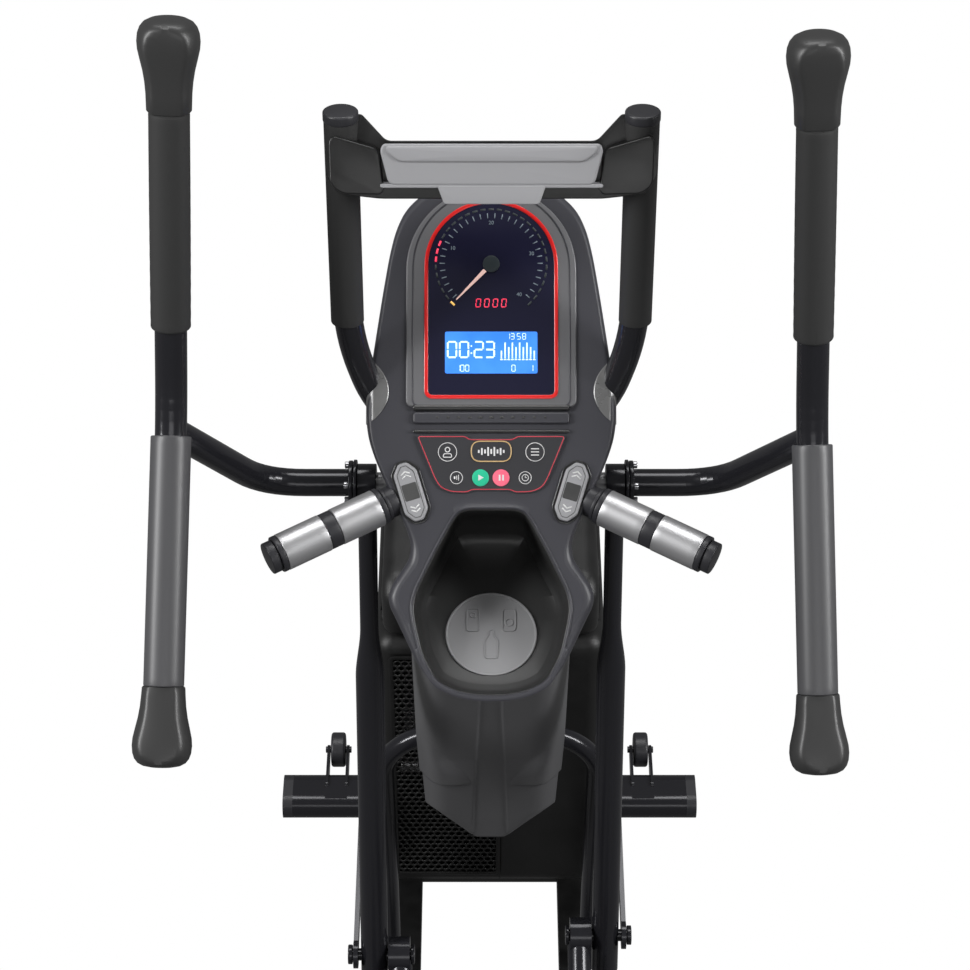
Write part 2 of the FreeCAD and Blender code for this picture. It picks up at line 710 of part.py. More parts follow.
def leg():
    """The right leg tube with the boss of its pivot and the roller's fork."""
    boss = disc((104, 131.4), LEG_AXIS, 23)
    tube = bent_bar([vec(LEG_X, *LEG_AXIS), vec(LEG_X, -190, 256), vec(LEG_X, -510, 256)], LEG_R, 90)
    y, z = ROLLER_AXIS
    cheeks = [side_plate([(y - 14, z - 6), (y, z - 14), (y + 14, z - 6), (y + 26, 262), (y - 26, 262)], x, 5)
              for x in ((106, 110), (140, 144))]
    bridge = box((106, 144), (y - 24, y + 24), (246, 264))
    pin = disc((108, 142), ROLLER_AXIS, 6)
    whole = fuse([boss, tube, bridge, pin] + cheeks)
    whole = whole.cut(disc((90, 103 + GAP), LEG_AXIS, 14))
    return whole.cut(disc((100, 140), LEG_AXIS, PIN_R + FIT))


def roller():
    """The roller that runs on the track."""
    return disc((112, 138), ROLLER_AXIS, ROLLER_R, 6 + FIT)


def pedal(leg_shape):
    """A foot plate with a raised edge on three sides."""
    base = flat_plate([(88, -520), (206, -520), (206, -180), (88, -180)], (268, 284), 26)
    raised = flat_plate([(88, -520), (206, -520), (206, -180), (88, -180)], (284, 304), 26)
    inside = flat_plate([(96, -530), (198, -530), (198, -188), (96, -188)], (284, 305), 20)
    return fuse([base, raised.cut(inside)]).cut(leg_shape)


def drive_rod():
    """A flat bar from the right arm's pin to the crank disc."""
    length, lean = 335.0, 4.0
    near = LEG_AXIS
    far = (near[0] + length, near[1])
    bar = fuse([disc((171, 177), near, 18), disc((171, 177), far, 15),
                box((171, 177), (near[0], far[0]), (near[1] - 12, near[1] + 12))])
    cap = disc((177, 182), far, 10)
    return turn(fuse([bar.cut(disc((170, 178), near, PIN_R + FIT)), cap]), near, lean)


def set_arm(shape, angle):
    """The arm's shape at its rest angle."""
    return turn(shape, ARM_AXIS, angle)


def set_leg(shape, angle, ratio):
    """A leg's or rod's shape at rest: carried by its arm and turned about the arm's pin."""
    carried = turn(shape, ARM_AXIS, angle)
    return turn(carried, turned(ARM_AXIS, LEG_AXIS, angle), ratio * angle)



def build():
    """Every node's shape by name."""
    parts = {}
    front_foot, rear_foot = foot_tube(FRONT_FOOT_Y), foot_tube(REAR_FOOT_Y)
    parts["front_stabilizer"] = fuse([front_foot, wheel_brackets(front_foot)])
    parts["rear_stabilizer"] = rear_foot
    parts["stabilizer_caps"] = foot_caps()
    parts["base_rails"] = base_frame([front_foot, rear_foot])
    parts["levelling_feet"] = levelling_feet(rear_foot)
    parts["right_transport_wheel"] = transport_wheel()
    parts["left_transport_wheel"] = mirror(transport_wheel())
    parts["roller_tracks"] = both_sides(roller_track())

    arch = arch_brace()
    parts["arch_brace"] = arch
    parts["mast"] = mast(arch)
    parts["arm_pivot_shaft"] = disc((-160, 160), ARM_AXIS, SHAFT_R)
    parts["static_handlebar"] = static_handlebar()
    sleeve = upright_part(0, 244, SLEEVE_R, UPRIGHT_R)
    sleeve = fuse([sleeve, upright_part(-9, 0, SLEEVE_R + 1, 0)])
    parts["static_grips"] = both_sides(sleeve)
    rack_back, rack_lip = rack_shapes()
    hold = upright_part(-9, 244, SLEEVE_R, 0)
    parts["media_rack"] = rack_back.cut(hold).cut(mirror(hold))
    parts["media_rack_lip"] = rack_lip

    console_block = in_console(rise(console_outline(), -CONSOLE_T - 3, 0))
    tray_block = well_block(0.1, 0, 184)
    parts["console_housing"] = console_shell()
    parts["console_back"] = console_back()
    surround = display_arch(96, 92, 243)
    ring_outer, ring_inner = display_arch(75, 97, 248), display_arch(71, 101, 248)
    plate = rise(surround, 0, 1.5).common(rise(console_outline(4), -1, 3))
    parts["display_surround"] = in_console(plate.cut(rise(ring_outer, -1, 3)))
    parts["display_bezel"] = in_console(rise(ring_outer, 0, 3).cut(rise(ring_inner, -1, 4)))
    parts["display_lens"] = in_console(rise(ring_inner, 0, 2))
    parts["vent_bar"] = vent_bar()
    parts["keypad"] = keypad()
    rocker = in_console(rocker_blank(0, -3, 5).cut(rocker_bore()))
    parts["right_resistance_rocker"] = rocker
    parts["left_resistance_rocker"] = mirror(rocker)
    parts["accessory_tray"] = tray()
    parts["tray_mat"] = tray_mat()
    parts["pulse_grip_bars"] = both_sides(pulse_bar())
    bore = PULSE_R + FIT
    plates = [pulse_ring(26, 78.5, 21.5, bore), pulse_ring(93.3, 146.3, 21.5, bore)]
    parts["pulse_plates"] = Part.makeCompound([both_sides(p) for p in plates])
    end = fuse([pulse_ring(146.5, 153, 21.2, bore), pulse_ring(153, 164, 18.5, 0)])
    collar = pulse_ring(15, 25.8, 21.2, bore).cut(console_block)
    trims = [end, pulse_ring(78.7, 93.1, 21.2, bore), collar]
    parts["pulse_trims"] = Part.makeCompound([both_sides(p) for p in trims])
    parts["mast_cover"] = mast_cover(tray_block, console_block)

    left_side = housing_side((-HOUSING_HALF, HOUSING_SPLIT - 0.15), -1)
    parts["housing_left"] = left_side.cut(grille_window(0.0, (-6, 3)))
    inlet = box((48, 72), (568, 580), (228, 252)).common(box((0, 100), (571, 700), (0, 400)))
    parts["power_inlet"] = inlet
    parts["housing_right"] = housing_side((HOUSING_SPLIT + 0.15, HOUSING_HALF), 1).cut(inlet)
    parts["housing_cap"] = housing_cap()
    parts["rear_grille"] = rear_grille()

    parts["drive_frame"] = drive_frame()
    parts["drive_bearings"] = bearings()
    parts["crankshaft"] = disc((-156, 156), CRANK_AXIS, 12.5)
    parts["crank_pulley"] = crank_pulley()
    crank = fuse([disc((156, 168), CRANK_AXIS, CRANK_R), disc((168, 170), CRANK_AXIS, 24)])
    parts["crank_discs"] = both_sides(crank)
    belt = belt_loop(BELT_T + GAP, BELT_X).cut(belt_loop(GAP, (BELT_X[0] - 1, BELT_X[1] + 1)))
    parts["drive_belt"] = belt
    shaft = disc((PLATE_X[0][0], 80), FAN_AXIS, 8)
    parts["fan_rotor"] = fuse([fan_rotor(), shaft, disc(BELT_X, FAN_AXIS, PINION_R)])

    arm, leg_shape, roller_shape = arm_frame(), leg(), roller()
    foot_plate = pedal(leg_shape)
    grips = {
        "upper_grip": grip_ring(BULB_LENGTH[0] + 0.2, 313, 22.0, GRIP_BAR_R),
        "lower_grip": grip_ring(BULB_LENGTH[1] + 0.2, 336, 22.5, GRIP_BAR_R, lower=True).cut(arm),
        "grip_bulbs": Part.makeCompound([bulb(), bulb(lower=True)]),
        "arm_bolts": arm_bolts(),
    }
    for side, sign in (("right", 1), ("left", -1)):
        angle = sign * ARM_TILT
        shapes = {"arm": set_arm(arm, angle), "leg": set_leg(leg_shape, angle, LEG_RATIO),
                  "pedal": set_leg(foot_plate, angle, LEG_RATIO),
                  "roller": set_leg(roller_shape, angle, LEG_RATIO),
                  "drive_rod": set_leg(drive_rod(), angle, ROD_RATIO)}
        shapes.update({name: set_arm(shape, angle) for name, shape in grips.items()})
        for name, shape in shapes.items():
            parts[f"{side}_{name}"] = shape if sign > 0 else mirror(shape)
    return parts


def main():
    """Writes one STEP file for each node."""
    os.makedirs("parts", exist_ok=True)
    for name, shape in build().items():
        placed = shape.copy()
        placed.translate(vec(0, -CENTRE_Y, 0))
        placed.exportStep(f"parts/{name}.step")
        bounds = placed.BoundBox
        print(f"{name:26s} solids {len(placed.Solids)} valid {placed.isValid()}"
              f" volume {placed.Volume / 1000:9.1f} cc"
              f" x {bounds.XMin:7.1f} {bounds.XMax:7.1f} y {bounds.YMin:7.1f} {bounds.YMax:7.1f}"
              f" z {bounds.ZMin:7.1f} {bounds.ZMax:7.1f}")


main()
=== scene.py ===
"""Looks of an air-resisted cross trainer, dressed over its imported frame.

Every shape is worked out as numpy arrays in the machine's design frame, in millimetres, and is moved into the
row frame, in metres, as its mesh is made. The arms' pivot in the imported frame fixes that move.
"""
import json
import logging
import math
from dataclasses import dataclass
from enum import Enum
from typing import Callable, Optional, Sequence

import bmesh
import bpy
import numpy as np
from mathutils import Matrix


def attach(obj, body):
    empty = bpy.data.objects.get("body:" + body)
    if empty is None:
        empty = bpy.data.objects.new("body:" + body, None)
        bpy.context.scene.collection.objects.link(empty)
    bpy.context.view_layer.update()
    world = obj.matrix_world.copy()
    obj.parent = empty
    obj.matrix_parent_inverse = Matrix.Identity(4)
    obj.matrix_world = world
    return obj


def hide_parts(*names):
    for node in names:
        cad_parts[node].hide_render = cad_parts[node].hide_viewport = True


LOG = logging.getLogger("cross_trainer")
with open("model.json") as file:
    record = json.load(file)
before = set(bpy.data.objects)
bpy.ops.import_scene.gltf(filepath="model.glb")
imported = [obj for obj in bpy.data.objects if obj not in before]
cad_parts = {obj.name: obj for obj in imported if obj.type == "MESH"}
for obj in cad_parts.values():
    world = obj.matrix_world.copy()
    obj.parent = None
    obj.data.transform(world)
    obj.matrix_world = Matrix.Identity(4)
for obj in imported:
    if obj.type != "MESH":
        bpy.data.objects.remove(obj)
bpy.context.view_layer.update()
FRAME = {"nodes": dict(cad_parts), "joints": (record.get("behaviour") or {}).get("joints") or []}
MM = 0.001
ARM_PIVOT_DESIGN_Y = 204.0


def joint_place(name: str) -> np.ndarray:
    """The pivot of a packed joint, in millimetres of the row frame."""
    joint = next(j for j in FRAME["joints"] if j["name"] == name)
    return np.array(joint["pos_m"], float) / MM


ARM_PIVOT = joint_place("left_arm_swing")
PIVOT = np.array([0.0, ARM_PIVOT_DESIGN_Y, ARM_PIVOT[2]])
SHIFT = np.array([0.0, ARM_PIVOT[1] - ARM_PIVOT_DESIGN_Y, 0.0])
ARM_TILT = 1.5
CONSOLE_ZERO = np.array([0.0, 145.0, 1109.0])
CONSOLE_TILT = math.radians(40.0)
RACK_ZERO = np.array([0.0, 255.0, 1429.0])
RACK_TILT = math.radians(57.5)


class Side(Enum):
    """The rider's two sides."""

    LEFT = -1
    RIGHT = 1

    @property
    def label(self) -> str:
        """The side's word in the names of nodes and bodies."""
        return self.name.lower()


# ------------------------------------------------------------------ finishes

@dataclass(frozen=True)
class Finish:
    """A surface finish: two close colours in a cloudy mix, a grain, and the shader's own even values.

    Attributes:
        name: the finish's name, also the record's material slot unless slot is given.
        dark, light: the two colours that the mottling runs between.
        rough: lowest and highest roughness.
        grain: bump pattern's scale per metre; 0 leaves the surface smooth.
        height: bump height in metres.
        stretch: scale of the grain along X, Y and Z, for brushed and drawn surfaces.
    """

    name: str
    dark: tuple
    light: tuple
    rough: tuple = (0.35, 0.45)
    metallic: float = 0.0
    mottle: float = 30.0
    grain: float = 0.0
    height: float = 0.00005
    stretch: tuple = (1.0, 1.0, 1.0)
    coat: float = 0.0
    glow: float = 0.0
    specular: float = 0.5
    pebbled: bool = False
    slot: str = ""

    def material(self) -> bpy.types.Material:
        """The finish's node material, made once."""
        found = bpy.data.materials.get(self.name)
        if found:
            return found
        made = bpy.data.materials.new(self.name)
        made.use_nodes = True
        tree = made.node_tree
        nodes, links = tree.nodes, tree.links
        shader = nodes["Principled BSDF"]
        place = nodes.new("ShaderNodeTexCoord")
        spread = nodes.new("ShaderNodeMapping")
        spread.inputs["Scale"].default_value = self.stretch
        links.new(place.outputs["Object"], spread.inputs["Vector"])
        cloud = nodes.new("ShaderNodeTexNoise")
        cloud.inputs["Scale"].default_value = self.mottle
        cloud.inputs["Detail"].default_value = 5.0
        links.new(spread.outputs["Vector"], cloud.inputs["Vector"])
        ramp = nodes.new("ShaderNodeValToRGB")
        ramp.color_ramp.elements[0].position = 0.3
        ramp.color_ramp.elements[0].color = (*self.dark, 1)
        ramp.color_ramp.elements[1].position = 0.7
        ramp.color_ramp.elements[1].color = (*self.light, 1)
        links.new(cloud.outputs["Fac"], ramp.inputs["Fac"])
        links.new(ramp.outputs["Color"], shader.inputs["Base Color"])
        gloss = nodes.new("ShaderNodeMapRange")
        gloss.inputs["From Min"].default_value = 0.3
        gloss.inputs["From Max"].default_value = 0.7
        gloss.inputs["To Min"].default_value, gloss.inputs["To Max"].default_value = self.rough
        links.new(cloud.outputs["Fac"], gloss.inputs["Value"])
        links.new(gloss.outputs["Result"], shader.inputs["Roughness"])
        shader.inputs["Metallic"].default_value = self.metallic
        shader.inputs["Coat Weight"].default_value = self.coat
        shader.inputs["Coat Roughness"].default_value = 0.06
        shader.inputs["Specular IOR Level"].default_value = self.specular
        if self.glow:
            links.new(ramp.outputs["Color"], shader.inputs["Emission Color"])
            shader.inputs["Emission Strength"].default_value = self.glow
        if self.grain:
            if self.pebbled:
                pebble = nodes.new("ShaderNodeTexVoronoi")
                source = pebble.outputs["Distance"]
            else:
                pebble = nodes.new("ShaderNodeTexNoise")
                pebble.inputs["Detail"].default_value = 3.0
                source = pebble.outputs["Fac"]
            pebble.inputs["Scale"].default_value = self.grain
            links.new(spread.outputs["Vector"], pebble.inputs["Vector"])
            bump = nodes.new("ShaderNodeBump")
            bump.inputs["Distance"].default_value = self.height
            bump.inputs["Strength"].default_value = 1.0
            links.new(source, bump.inputs["Height"])
            links.new(bump.outputs["Normal"], shader.inputs["Normal"])
        return made


def grey(value: float, warm: float = 0.0) -> tuple:
    """A near-neutral colour."""
    return (value + warm, value, value - warm)


GLOSS_BLACK = Finish("frame_black", grey(0.0025), grey(0.004), (0.13, 0.2), coat=0.35, grain=1400,
                     height=0.00002)
CAST_BLACK = Finish("rail_black", grey(0.003), grey(0.006), (0.35, 0.48), grain=1800, height=0.00006,
                    slot="frame_black")
FOAM = Finish("grip_foam", grey(0.003), grey(0.006), (0.66, 0.8), grain=1500, height=0.0002, specular=0.25)
GRIP_GREY = Finish("grip_grey", grey(0.055), grey(0.075), (0.34, 0.42), grain=900, height=0.00003)
BULB = Finish("bulb_rubber", grey(0.014), grey(0.02), (0.3, 0.4), grain=2200, height=0.00008, pebbled=True,
              slot="bulb_rubber")
CONSOLE = Finish("console_plastic", grey(0.013), grey(0.018), (0.36, 0.46), grain=1300, height=0.00012,
                 pebbled=True)
# Painted highlight: a lighter, half-metallic copy of the console plastic for the light caught on the
# console's rounded side edges.
CHEEK_HIGHLIGHT = Finish("cheek_painted_highlight", grey(0.2), grey(0.26), (0.25, 0.33), metallic=0.5, grain=1300, height=0.00003,
               slot="console_plastic")
CONSOLE_GLOSS = Finish("console_cheek", grey(0.02), grey(0.028), (0.2, 0.28), coat=0.3,
                       slot="console_plastic")
COVER = Finish("cover_grey", grey(0.15), grey(0.175), (0.42, 0.52), grain=1300, height=0.0001, pebbled=True)
COVER_DARK = Finish("cover_charcoal", grey(0.006), grey(0.009), (0.38, 0.48), grain=1300, height=0.0001,
                    pebbled=True, slot="cover_grey")
BLACK_PLASTIC = Finish("black_plastic", grey(0.004), grey(0.008), (0.36, 0.48), grain=1500, height=0.00008)
RACK_BLACK = Finish("rack_black", grey(0.008), grey(0.012), (0.28, 0.36), grain=1500, height=0.00006,
                    slot="black_plastic")
GUNMETAL = Finish("gunmetal", grey(0.05), grey(0.065), (0.34, 0.42), metallic=0.5, grain=2500, height=0.00003)
# Red bezel plastic with a weak glow: the red is the ring's own colour, the glow is painted light.
RED_RING_GLOW = Finish("red_ring", (0.5, 0.006, 0.008), (0.65, 0.012, 0.014), (0.25, 0.32), coat=0.3, glow=0.3)
# Pink printed outline with a glow: the pink is print, the glow is painted light.
PINK_LINE_GLOW = Finish("keypad_line_glow", (0.4, 0.03, 0.05), (0.5, 0.045, 0.07), (0.35, 0.45), glow=0.15,
                   slot="keypad_film")
GLASS = Finish("display_glass", (0.004, 0.009, 0.013), (0.006, 0.012, 0.018), (0.1, 0.15), specular=0.2)
LCD = Finish("lcd_blue", (0.02, 0.13, 0.62), (0.05, 0.22, 0.78), (0.3, 0.4), mottle=14, glow=0.85,
             slot="display_glass", specular=0.2)
# White print on the keys and rockers with a glow: the white is print, the glow is painted light.
WHITE_INK_GLOW = Finish("white_ink_glow", grey(0.5), grey(0.6), (0.4, 0.5), glow=0.25, slot="keypad_film")
LCD_WHITE = Finish("lcd_white", (0.6, 0.8, 1.0), (0.7, 0.86, 1.0), (0.4, 0.5), glow=0.8,
                   slot="display_glass")
DIM_INK = Finish("dim_ink", (0.02, 0.03, 0.035), (0.03, 0.04, 0.045), (0.4, 0.5), slot="display_glass")
TICK_INK = Finish("tick_ink", (0.16, 0.2, 0.24), (0.2, 0.25, 0.29), (0.4, 0.5), glow=0.2,
                  slot="display_glass")
RED_LIGHT = Finish("red_light", (0.8, 0.03, 0.08), (0.9, 0.05, 0.11), (0.4, 0.5), glow=0.9,
                   slot="display_glass")
PINK_LIGHT = Finish("pink_light", (0.8, 0.5, 0.45), (0.86, 0.58, 0.52), (0.4, 0.5), glow=0.4,
                    slot="display_glass")
AMBER_LIGHT = Finish("amber_light", (0.85, 0.5, 0.12), (0.9, 0.56, 0.16), (0.4, 0.5), glow=0.6,
                     slot="display_glass")
KEYPAD = Finish("keypad_film", grey(0.006), grey(0.01), (0.34, 0.4), grain=2600, height=0.00002)
# Green and pink keys with a glow: the colours are the keys' own, the glow is painted light.
GREEN_KEY_GLOW = Finish("green_key_glow", (0.01, 0.36, 0.2), (0.02, 0.42, 0.24), (0.35, 0.45), glow=0.25,
                   slot="keypad_film")
PINK_KEY_GLOW = Finish("pink_key_glow", (0.7, 0.1, 0.17), (0.78, 0.14, 0.21), (0.35, 0.45), glow=0.25,
                  slot="keypad_film")
# Gold printed line round the interval key with a glow: the gold is print, the glow is painted light.
GOLD_LINE_GLOW = Finish("gold_line_glow", (0.42, 0.28, 0.12), (0.52, 0.36, 0.17), (0.3, 0.4), glow=0.1, slot="keypad_film")
ROCKER = Finish("rocker_grey", grey(0.13), grey(0.17), (0.28, 0.36), coat=0.2)
ROCKER_DARK = Finish("rocker_middle", grey(0.05), grey(0.065), (0.3, 0.4), slot="rocker_grey")
TRAY = Finish("tray_black", grey(0.003), grey(0.006), (0.4, 0.5), grain=1400, height=0.0001, pebbled=True)
MAT = Finish("mat_rubber", grey(0.09), grey(0.13), (0.6, 0.75), mottle=120, grain=900, height=0.0004,
             pebbled=True)
STEEL = Finish("pulse_steel", grey(0.42), grey(0.62), (0.2, 0.32), metallic=1.0, mottle=420,
               stretch=(0.06, 1.0, 1.0), grain=1500, height=0.00002)
BARE = Finish("bare_steel", grey(0.38), grey(0.5), (0.25, 0.35), metallic=1.0, mottle=200)
ALUMINIUM = Finish("aluminium", grey(0.3), grey(0.4), (0.35, 0.5), metallic=1.0, grain=900, height=0.00006)
BELT = Finish("belt_rubber", grey(0.01), grey(0.016), (0.6, 0.7), grain=1600, height=0.0001)
BOLT = Finish("bolt_steel", grey(0.09), grey(0.14), (0.2, 0.3), metallic=1.0, mottle=300)
RACK_GREY = Finish("rack_grey", grey(0.014), grey(0.018), (0.3, 0.38), metallic=0.2, grain=1800,
                   height=0.00004)


# ------------------------------------------------------------------ places

def tilt(points: np.ndarray, angle: float) -> np.ndarray:
    """Turns points about +X by an angle in radians: y and z mix by its sine and cosine."""
    c, s = math.cos(angle), math.sin(angle)
    x, y, z = points[..., 0], points[..., 1], points[..., 2]
    return np.stack([x, y * c - z * s, y * s + z * c], -1)


def on_console(points: np.ndarray) -> np.ndarray:
    """Moves points from the console's plane, with z out of it, into the design frame."""
    return tilt(np.asarray(points, float), CONSOLE_TILT) + CONSOLE_ZERO


def on_rack(points: np.ndarray) -> np.ndarray:
    """Moves points from the rack's plane into the design frame."""
    return tilt(np.asarray(points, float), RACK_TILT) + RACK_ZERO


def on_arm(side: Side) -> Callable[[np.ndarray], np.ndarray]:
    """The move from a right arm at zero angle to this side's arm at rest: a mirror and a small tilt."""
    def move(points: np.ndarray) -> np.ndarray:
        """Tilts about the arms' pivot, then mirrors the left side."""
        turned = tilt(np.asarray(points, float) - PIVOT, math.radians(side.value * ARM_TILT)) + PIVOT
        return turned * np.array([side.value, 1.0, 1.0])

    return move


# ------------------------------------------------------------------ surfaces

@dataclass
class Mesh:
    """Vertices and faces that are still being put together."""

    points: np.ndarray
    faces: list

    def moved(self, move: Callable[[np.ndarray], np.ndarray]) -> "Mesh":
        """The mesh with its points moved."""
        return Mesh(move(self.points), self.faces)


def grid(points: np.ndarray, ring: bool = True, caps: bool = True) -> Mesh:
    """A surface over a grid of rows and columns.

    Args:
        points: rows by columns by 3; each row is one loop of the surface.
        ring: whether each row closes on itself.
        caps: whether the first and last rows are closed by a fan round their mean point.

    Returns:
        The mesh: quads between neighbouring rows, and triangle fans at the poles.
    """
    rows, columns = points.shape[:2]
    index = np.arange(rows * columns).reshape(rows, columns)
    here, there = index[:-1], index[1:]
    if ring:
        quads = np.stack([here, np.roll(here, -1, 1), np.roll(there, -1, 1), there], -1).reshape(-1, 4)
    else:
        quads = np.stack([here[:, :-1], here[:, 1:], there[:, 1:], there[:, :-1]], -1).reshape(-1, 4)
    flat = points.reshape(-1, 3)
    faces = quads.tolist()
    if caps and ring:
        flat = np.vstack([flat, points[0].mean(0), points[-1].mean(0)])
        first, last = rows * columns, rows * columns + 1
        faces += np.stack([np.roll(index[0], -1), index[0], np.full(columns, first)], -1).tolist()
        faces += np.stack([index[-1], np.roll(index[-1], -1), np.full(columns, last)], -1).tolist()
    return Mesh(flat, faces)


def fanned(surface: Mesh, pole: Sequence, count: int) -> Mesh:
    """The surface with its last row, of count points, closed by triangles round a pole."""
    last = np.arange(count) + len(surface.points) - count
    top = np.full(count, len(surface.points))
    faces = surface.faces + np.stack([last, np.roll(last, -1), top], -1).tolist()
    return Mesh(np.vstack([surface.points, pole]), faces)


def join(meshes: Sequence[Mesh]) -> Mesh:
    """Several meshes as one."""
    starts = np.cumsum([0] + [len(m.points) for m in meshes[:-1]])
    faces = [[v + int(s) for v in f] for m, s in zip(meshes, starts) for f in m.faces]
    return Mesh(np.vstack([m.points for m in meshes]), faces)


def smooth_path(corners: Sequence, bend: float, step: float = 6.0) -> np.ndarray:
    """A path of straight runs whose corners are rounded by quadratic curves of the given reach."""
    corners = np.asarray(corners, float)
    pieces = [corners[:1]]
    t = np.linspace(0, 1, 9)[:, None]
    for before, corner, after in zip(corners, corners[1:], corners[2:]):
        back, ahead = before - corner, after - corner
        reach = min(bend, 0.48 * np.linalg.norm(back), 0.48 * np.linalg.norm(ahead))
        start = corner + back / np.linalg.norm(back) * reach
        end = corner + ahead / np.linalg.norm(ahead) * reach
        pieces.append((1 - t) ** 2 * start + 2 * t * (1 - t) * corner + t ** 2 * end)
    pieces.append(corners[-1:])
    rough = np.vstack(pieces)
    along = np.concatenate([[0], np.cumsum(np.linalg.norm(np.diff(rough, axis=0), axis=1))])
    even = np.linspace(0, along[-1], max(int(along[-1] / step), 2) + 1)
    even = np.unique(np.concatenate([even, along]))
    even = even[np.concatenate([[True], np.diff(even) > 0.05])]
    return np.stack([np.interp(even, along, rough[:, k]) for k in range(3)], -1)


def tube(path: np.ndarray, radius, sides: int = 40, soft_end: float = 1.5) -> Mesh:
    """A closed round tube along a path.

    A point is the path's point plus radius times (cos t across, sin t up), where across and up are square to
    the path's direction. The ends are rounded off by a quarter circle of size soft_end.
    """
    along = np.concatenate([[0], np.cumsum(np.linalg.norm(np.diff(path, axis=0), axis=1))])
    length = along[-1]
    turn = np.sin(np.linspace(0, math.pi / 2, 5))
    soft = soft_end * (1 - np.cos(np.linspace(0, math.pi / 2, 5)))
    stations = np.concatenate([soft, along[(along > soft_end) & (along < length - soft_end)],
                               length - soft[::-1]])
    centre = np.stack([np.interp(stations, along, path[:, k]) for k in range(3)], -1)
    if callable(radius):
        size = radius(stations / length)
    else:
        size = np.full(len(stations), float(radius))
    size[:5] -= soft_end * (1 - turn)
    size[-5:] -= soft_end * (1 - turn[::-1])
    way = np.gradient(centre, axis=0)
    way /= np.linalg.norm(way, axis=1, keepdims=True) + 1e-12
    crosswise = max(abs(way[0, 0]), abs(way[-1, 0])) >= 0.9
    helper = np.array([0, 0.3, 1.0]) if crosswise else np.array([1.0, 0, 0])
    across = helper - way * (way @ helper)[:, None]
    across /= np.linalg.norm(across, axis=1, keepdims=True)
    up = np.cross(way, across)
    t = np.linspace(0, 2 * math.pi, sides, endpoint=False)
    rim = across[:, None] * np.cos(t)[None, :, None] + up[:, None] * np.sin(t)[None, :, None]
    return grid(centre[:, None] + rim * size[:, None, None])


def straight(start: Sequence, end: Sequence, first: float = 0.0, last: Optional[float] = None) -> np.ndarray:
    """Points on the line from start to end, between two distances from start."""
    start, end = np.asarray(start, float), np.asarray(end, float)
    length = np.linalg.norm(end - start)
    last = length if last is None else last
    way = (end - start) / length
    distance = np.linspace(first, last, max(int((last - first) / 8), 2) + 1)
    return start + way * distance[:, None]


def rounded_loop(corners: Sequence, radius: float, per_corner: int = 8) -> np.ndarray:
    """A closed outline whose corners are rounded by quadratic curves of the given reach."""
    corners = np.asarray(corners, float)
    before, after = np.roll(corners, 1, 0) - corners, np.roll(corners, -1, 0) - corners
    lb, la = np.linalg.norm(before, axis=1), np.linalg.norm(after, axis=1)
    reach = np.minimum(radius, 0.47 * np.minimum(lb, la))
    start = corners + before / lb[:, None] * reach[:, None]
    end = corners + after / la[:, None] * reach[:, None]
    t = np.linspace(0, 1, per_corner)[None, :, None]
    curve = (1 - t) ** 2 * start[:, None] + 2 * t * (1 - t) * corners[:, None] + t ** 2 * end[:, None]
    return curve.reshape(-1, 2)


def even_loop(loop: np.ndarray, count: int) -> np.ndarray:
    """A closed outline at evenly spaced points."""
    closed = np.vstack([loop, loop[:1]])
    along = np.concatenate([[0], np.cumsum(np.linalg.norm(np.diff(closed, axis=0), axis=1))])
    even = np.linspace(0, along[-1], count, endpoint=False)
    return np.stack([np.interp(even, along, closed[:, k]) for k in range(2)], -1)


def soft_loop(corners: Sequence, radius: float, count: int) -> np.ndarray:
    """A closed outline with rounded corners, at evenly spaced points."""
    return even_loop(rounded_loop(corners, radius), count)


def rectangle(left: float, low: float, right: float, high: float) -> list:
    """The four corners of an upright rectangle, anticlockwise from the lower left."""
    return [(left, low), (right, low), (right, high), (left, high)]


def inset(loop: np.ndarray, amount: float) -> np.ndarray:
    """The outline moved inwards, square to itself. A corner moves along its mean normal."""
    way = np.roll(loop, -1, 0) - np.roll(loop, 1, 0)
    area = np.sum(loop[:, 0] * np.roll(loop[:, 1], -1) - np.roll(loop[:, 0], -1) * loop[:, 1])
    normal = np.stack([-way[:, 1], way[:, 0]], -1) * np.sign(area)
    return loop + normal / (np.linalg.norm(normal, axis=1, keepdims=True) + 1e-9) * amount


def slab(loop: np.ndarray, low: float, high: float, soft: float = 1.0, crown: float = 0.0) -> Mesh:
    """A plate with a rounded upper edge: the outline rises straight, then draws in over a quarter circle.

    Args:
        loop: the outline, points by 2.
        low, high: the plate's lower and upper height.
        soft: size of the rounded edge.
        crown: how far the middle of the top stands above its edge.
    """
    a = np.linspace(0, math.pi / 2, 5)
    levels = [(0.0, low)] + [(soft * (1 - math.cos(v)), high - soft + soft * math.sin(v)) for v in a]
    rows = [np.column_stack([inset(loop, d), np.full(len(loop), h)]) for d, h in levels]
    if crown == 0:
        body = grid(np.array(rows), caps=False)
        body.faces.append(list(range(len(loop)))[::-1])
        body.faces.append(list(range(len(loop) * (len(rows) - 1), len(loop) * len(rows))))
        return body
    centre = loop.mean(0)
    for k in (0.75, 0.5, 0.25):
        ring = centre + (inset(loop, soft) - centre) * k
        rows.append(np.column_stack([ring, np.full(len(loop), high + crown * (1 - k * k))]))
    return grid(np.array(rows))


def ribbon(loop: np.ndarray, width: float, low: float, high: float) -> Mesh:
    """A flat band on both sides of a closed outline, with a domed top."""
    profile = [(-width / 2, low), (-width / 2, high - width / 8), (-width / 4, high), (width / 4, high),
               (width / 2, high - width / 8), (width / 2, low), (-width / 2, low)]
    rows = [np.column_stack([inset(loop, d), np.full(len(loop), h)]) for d, h in profile]
    return grid(np.array(rows), caps=False)


def circle(x: float, y: float, radius: float, count: int = 40) -> np.ndarray:
    """A round outline."""
    t = np.linspace(0, 2 * math.pi, count, endpoint=False)
    return np.column_stack([x + radius * np.cos(t), y + radius * np.sin(t)])


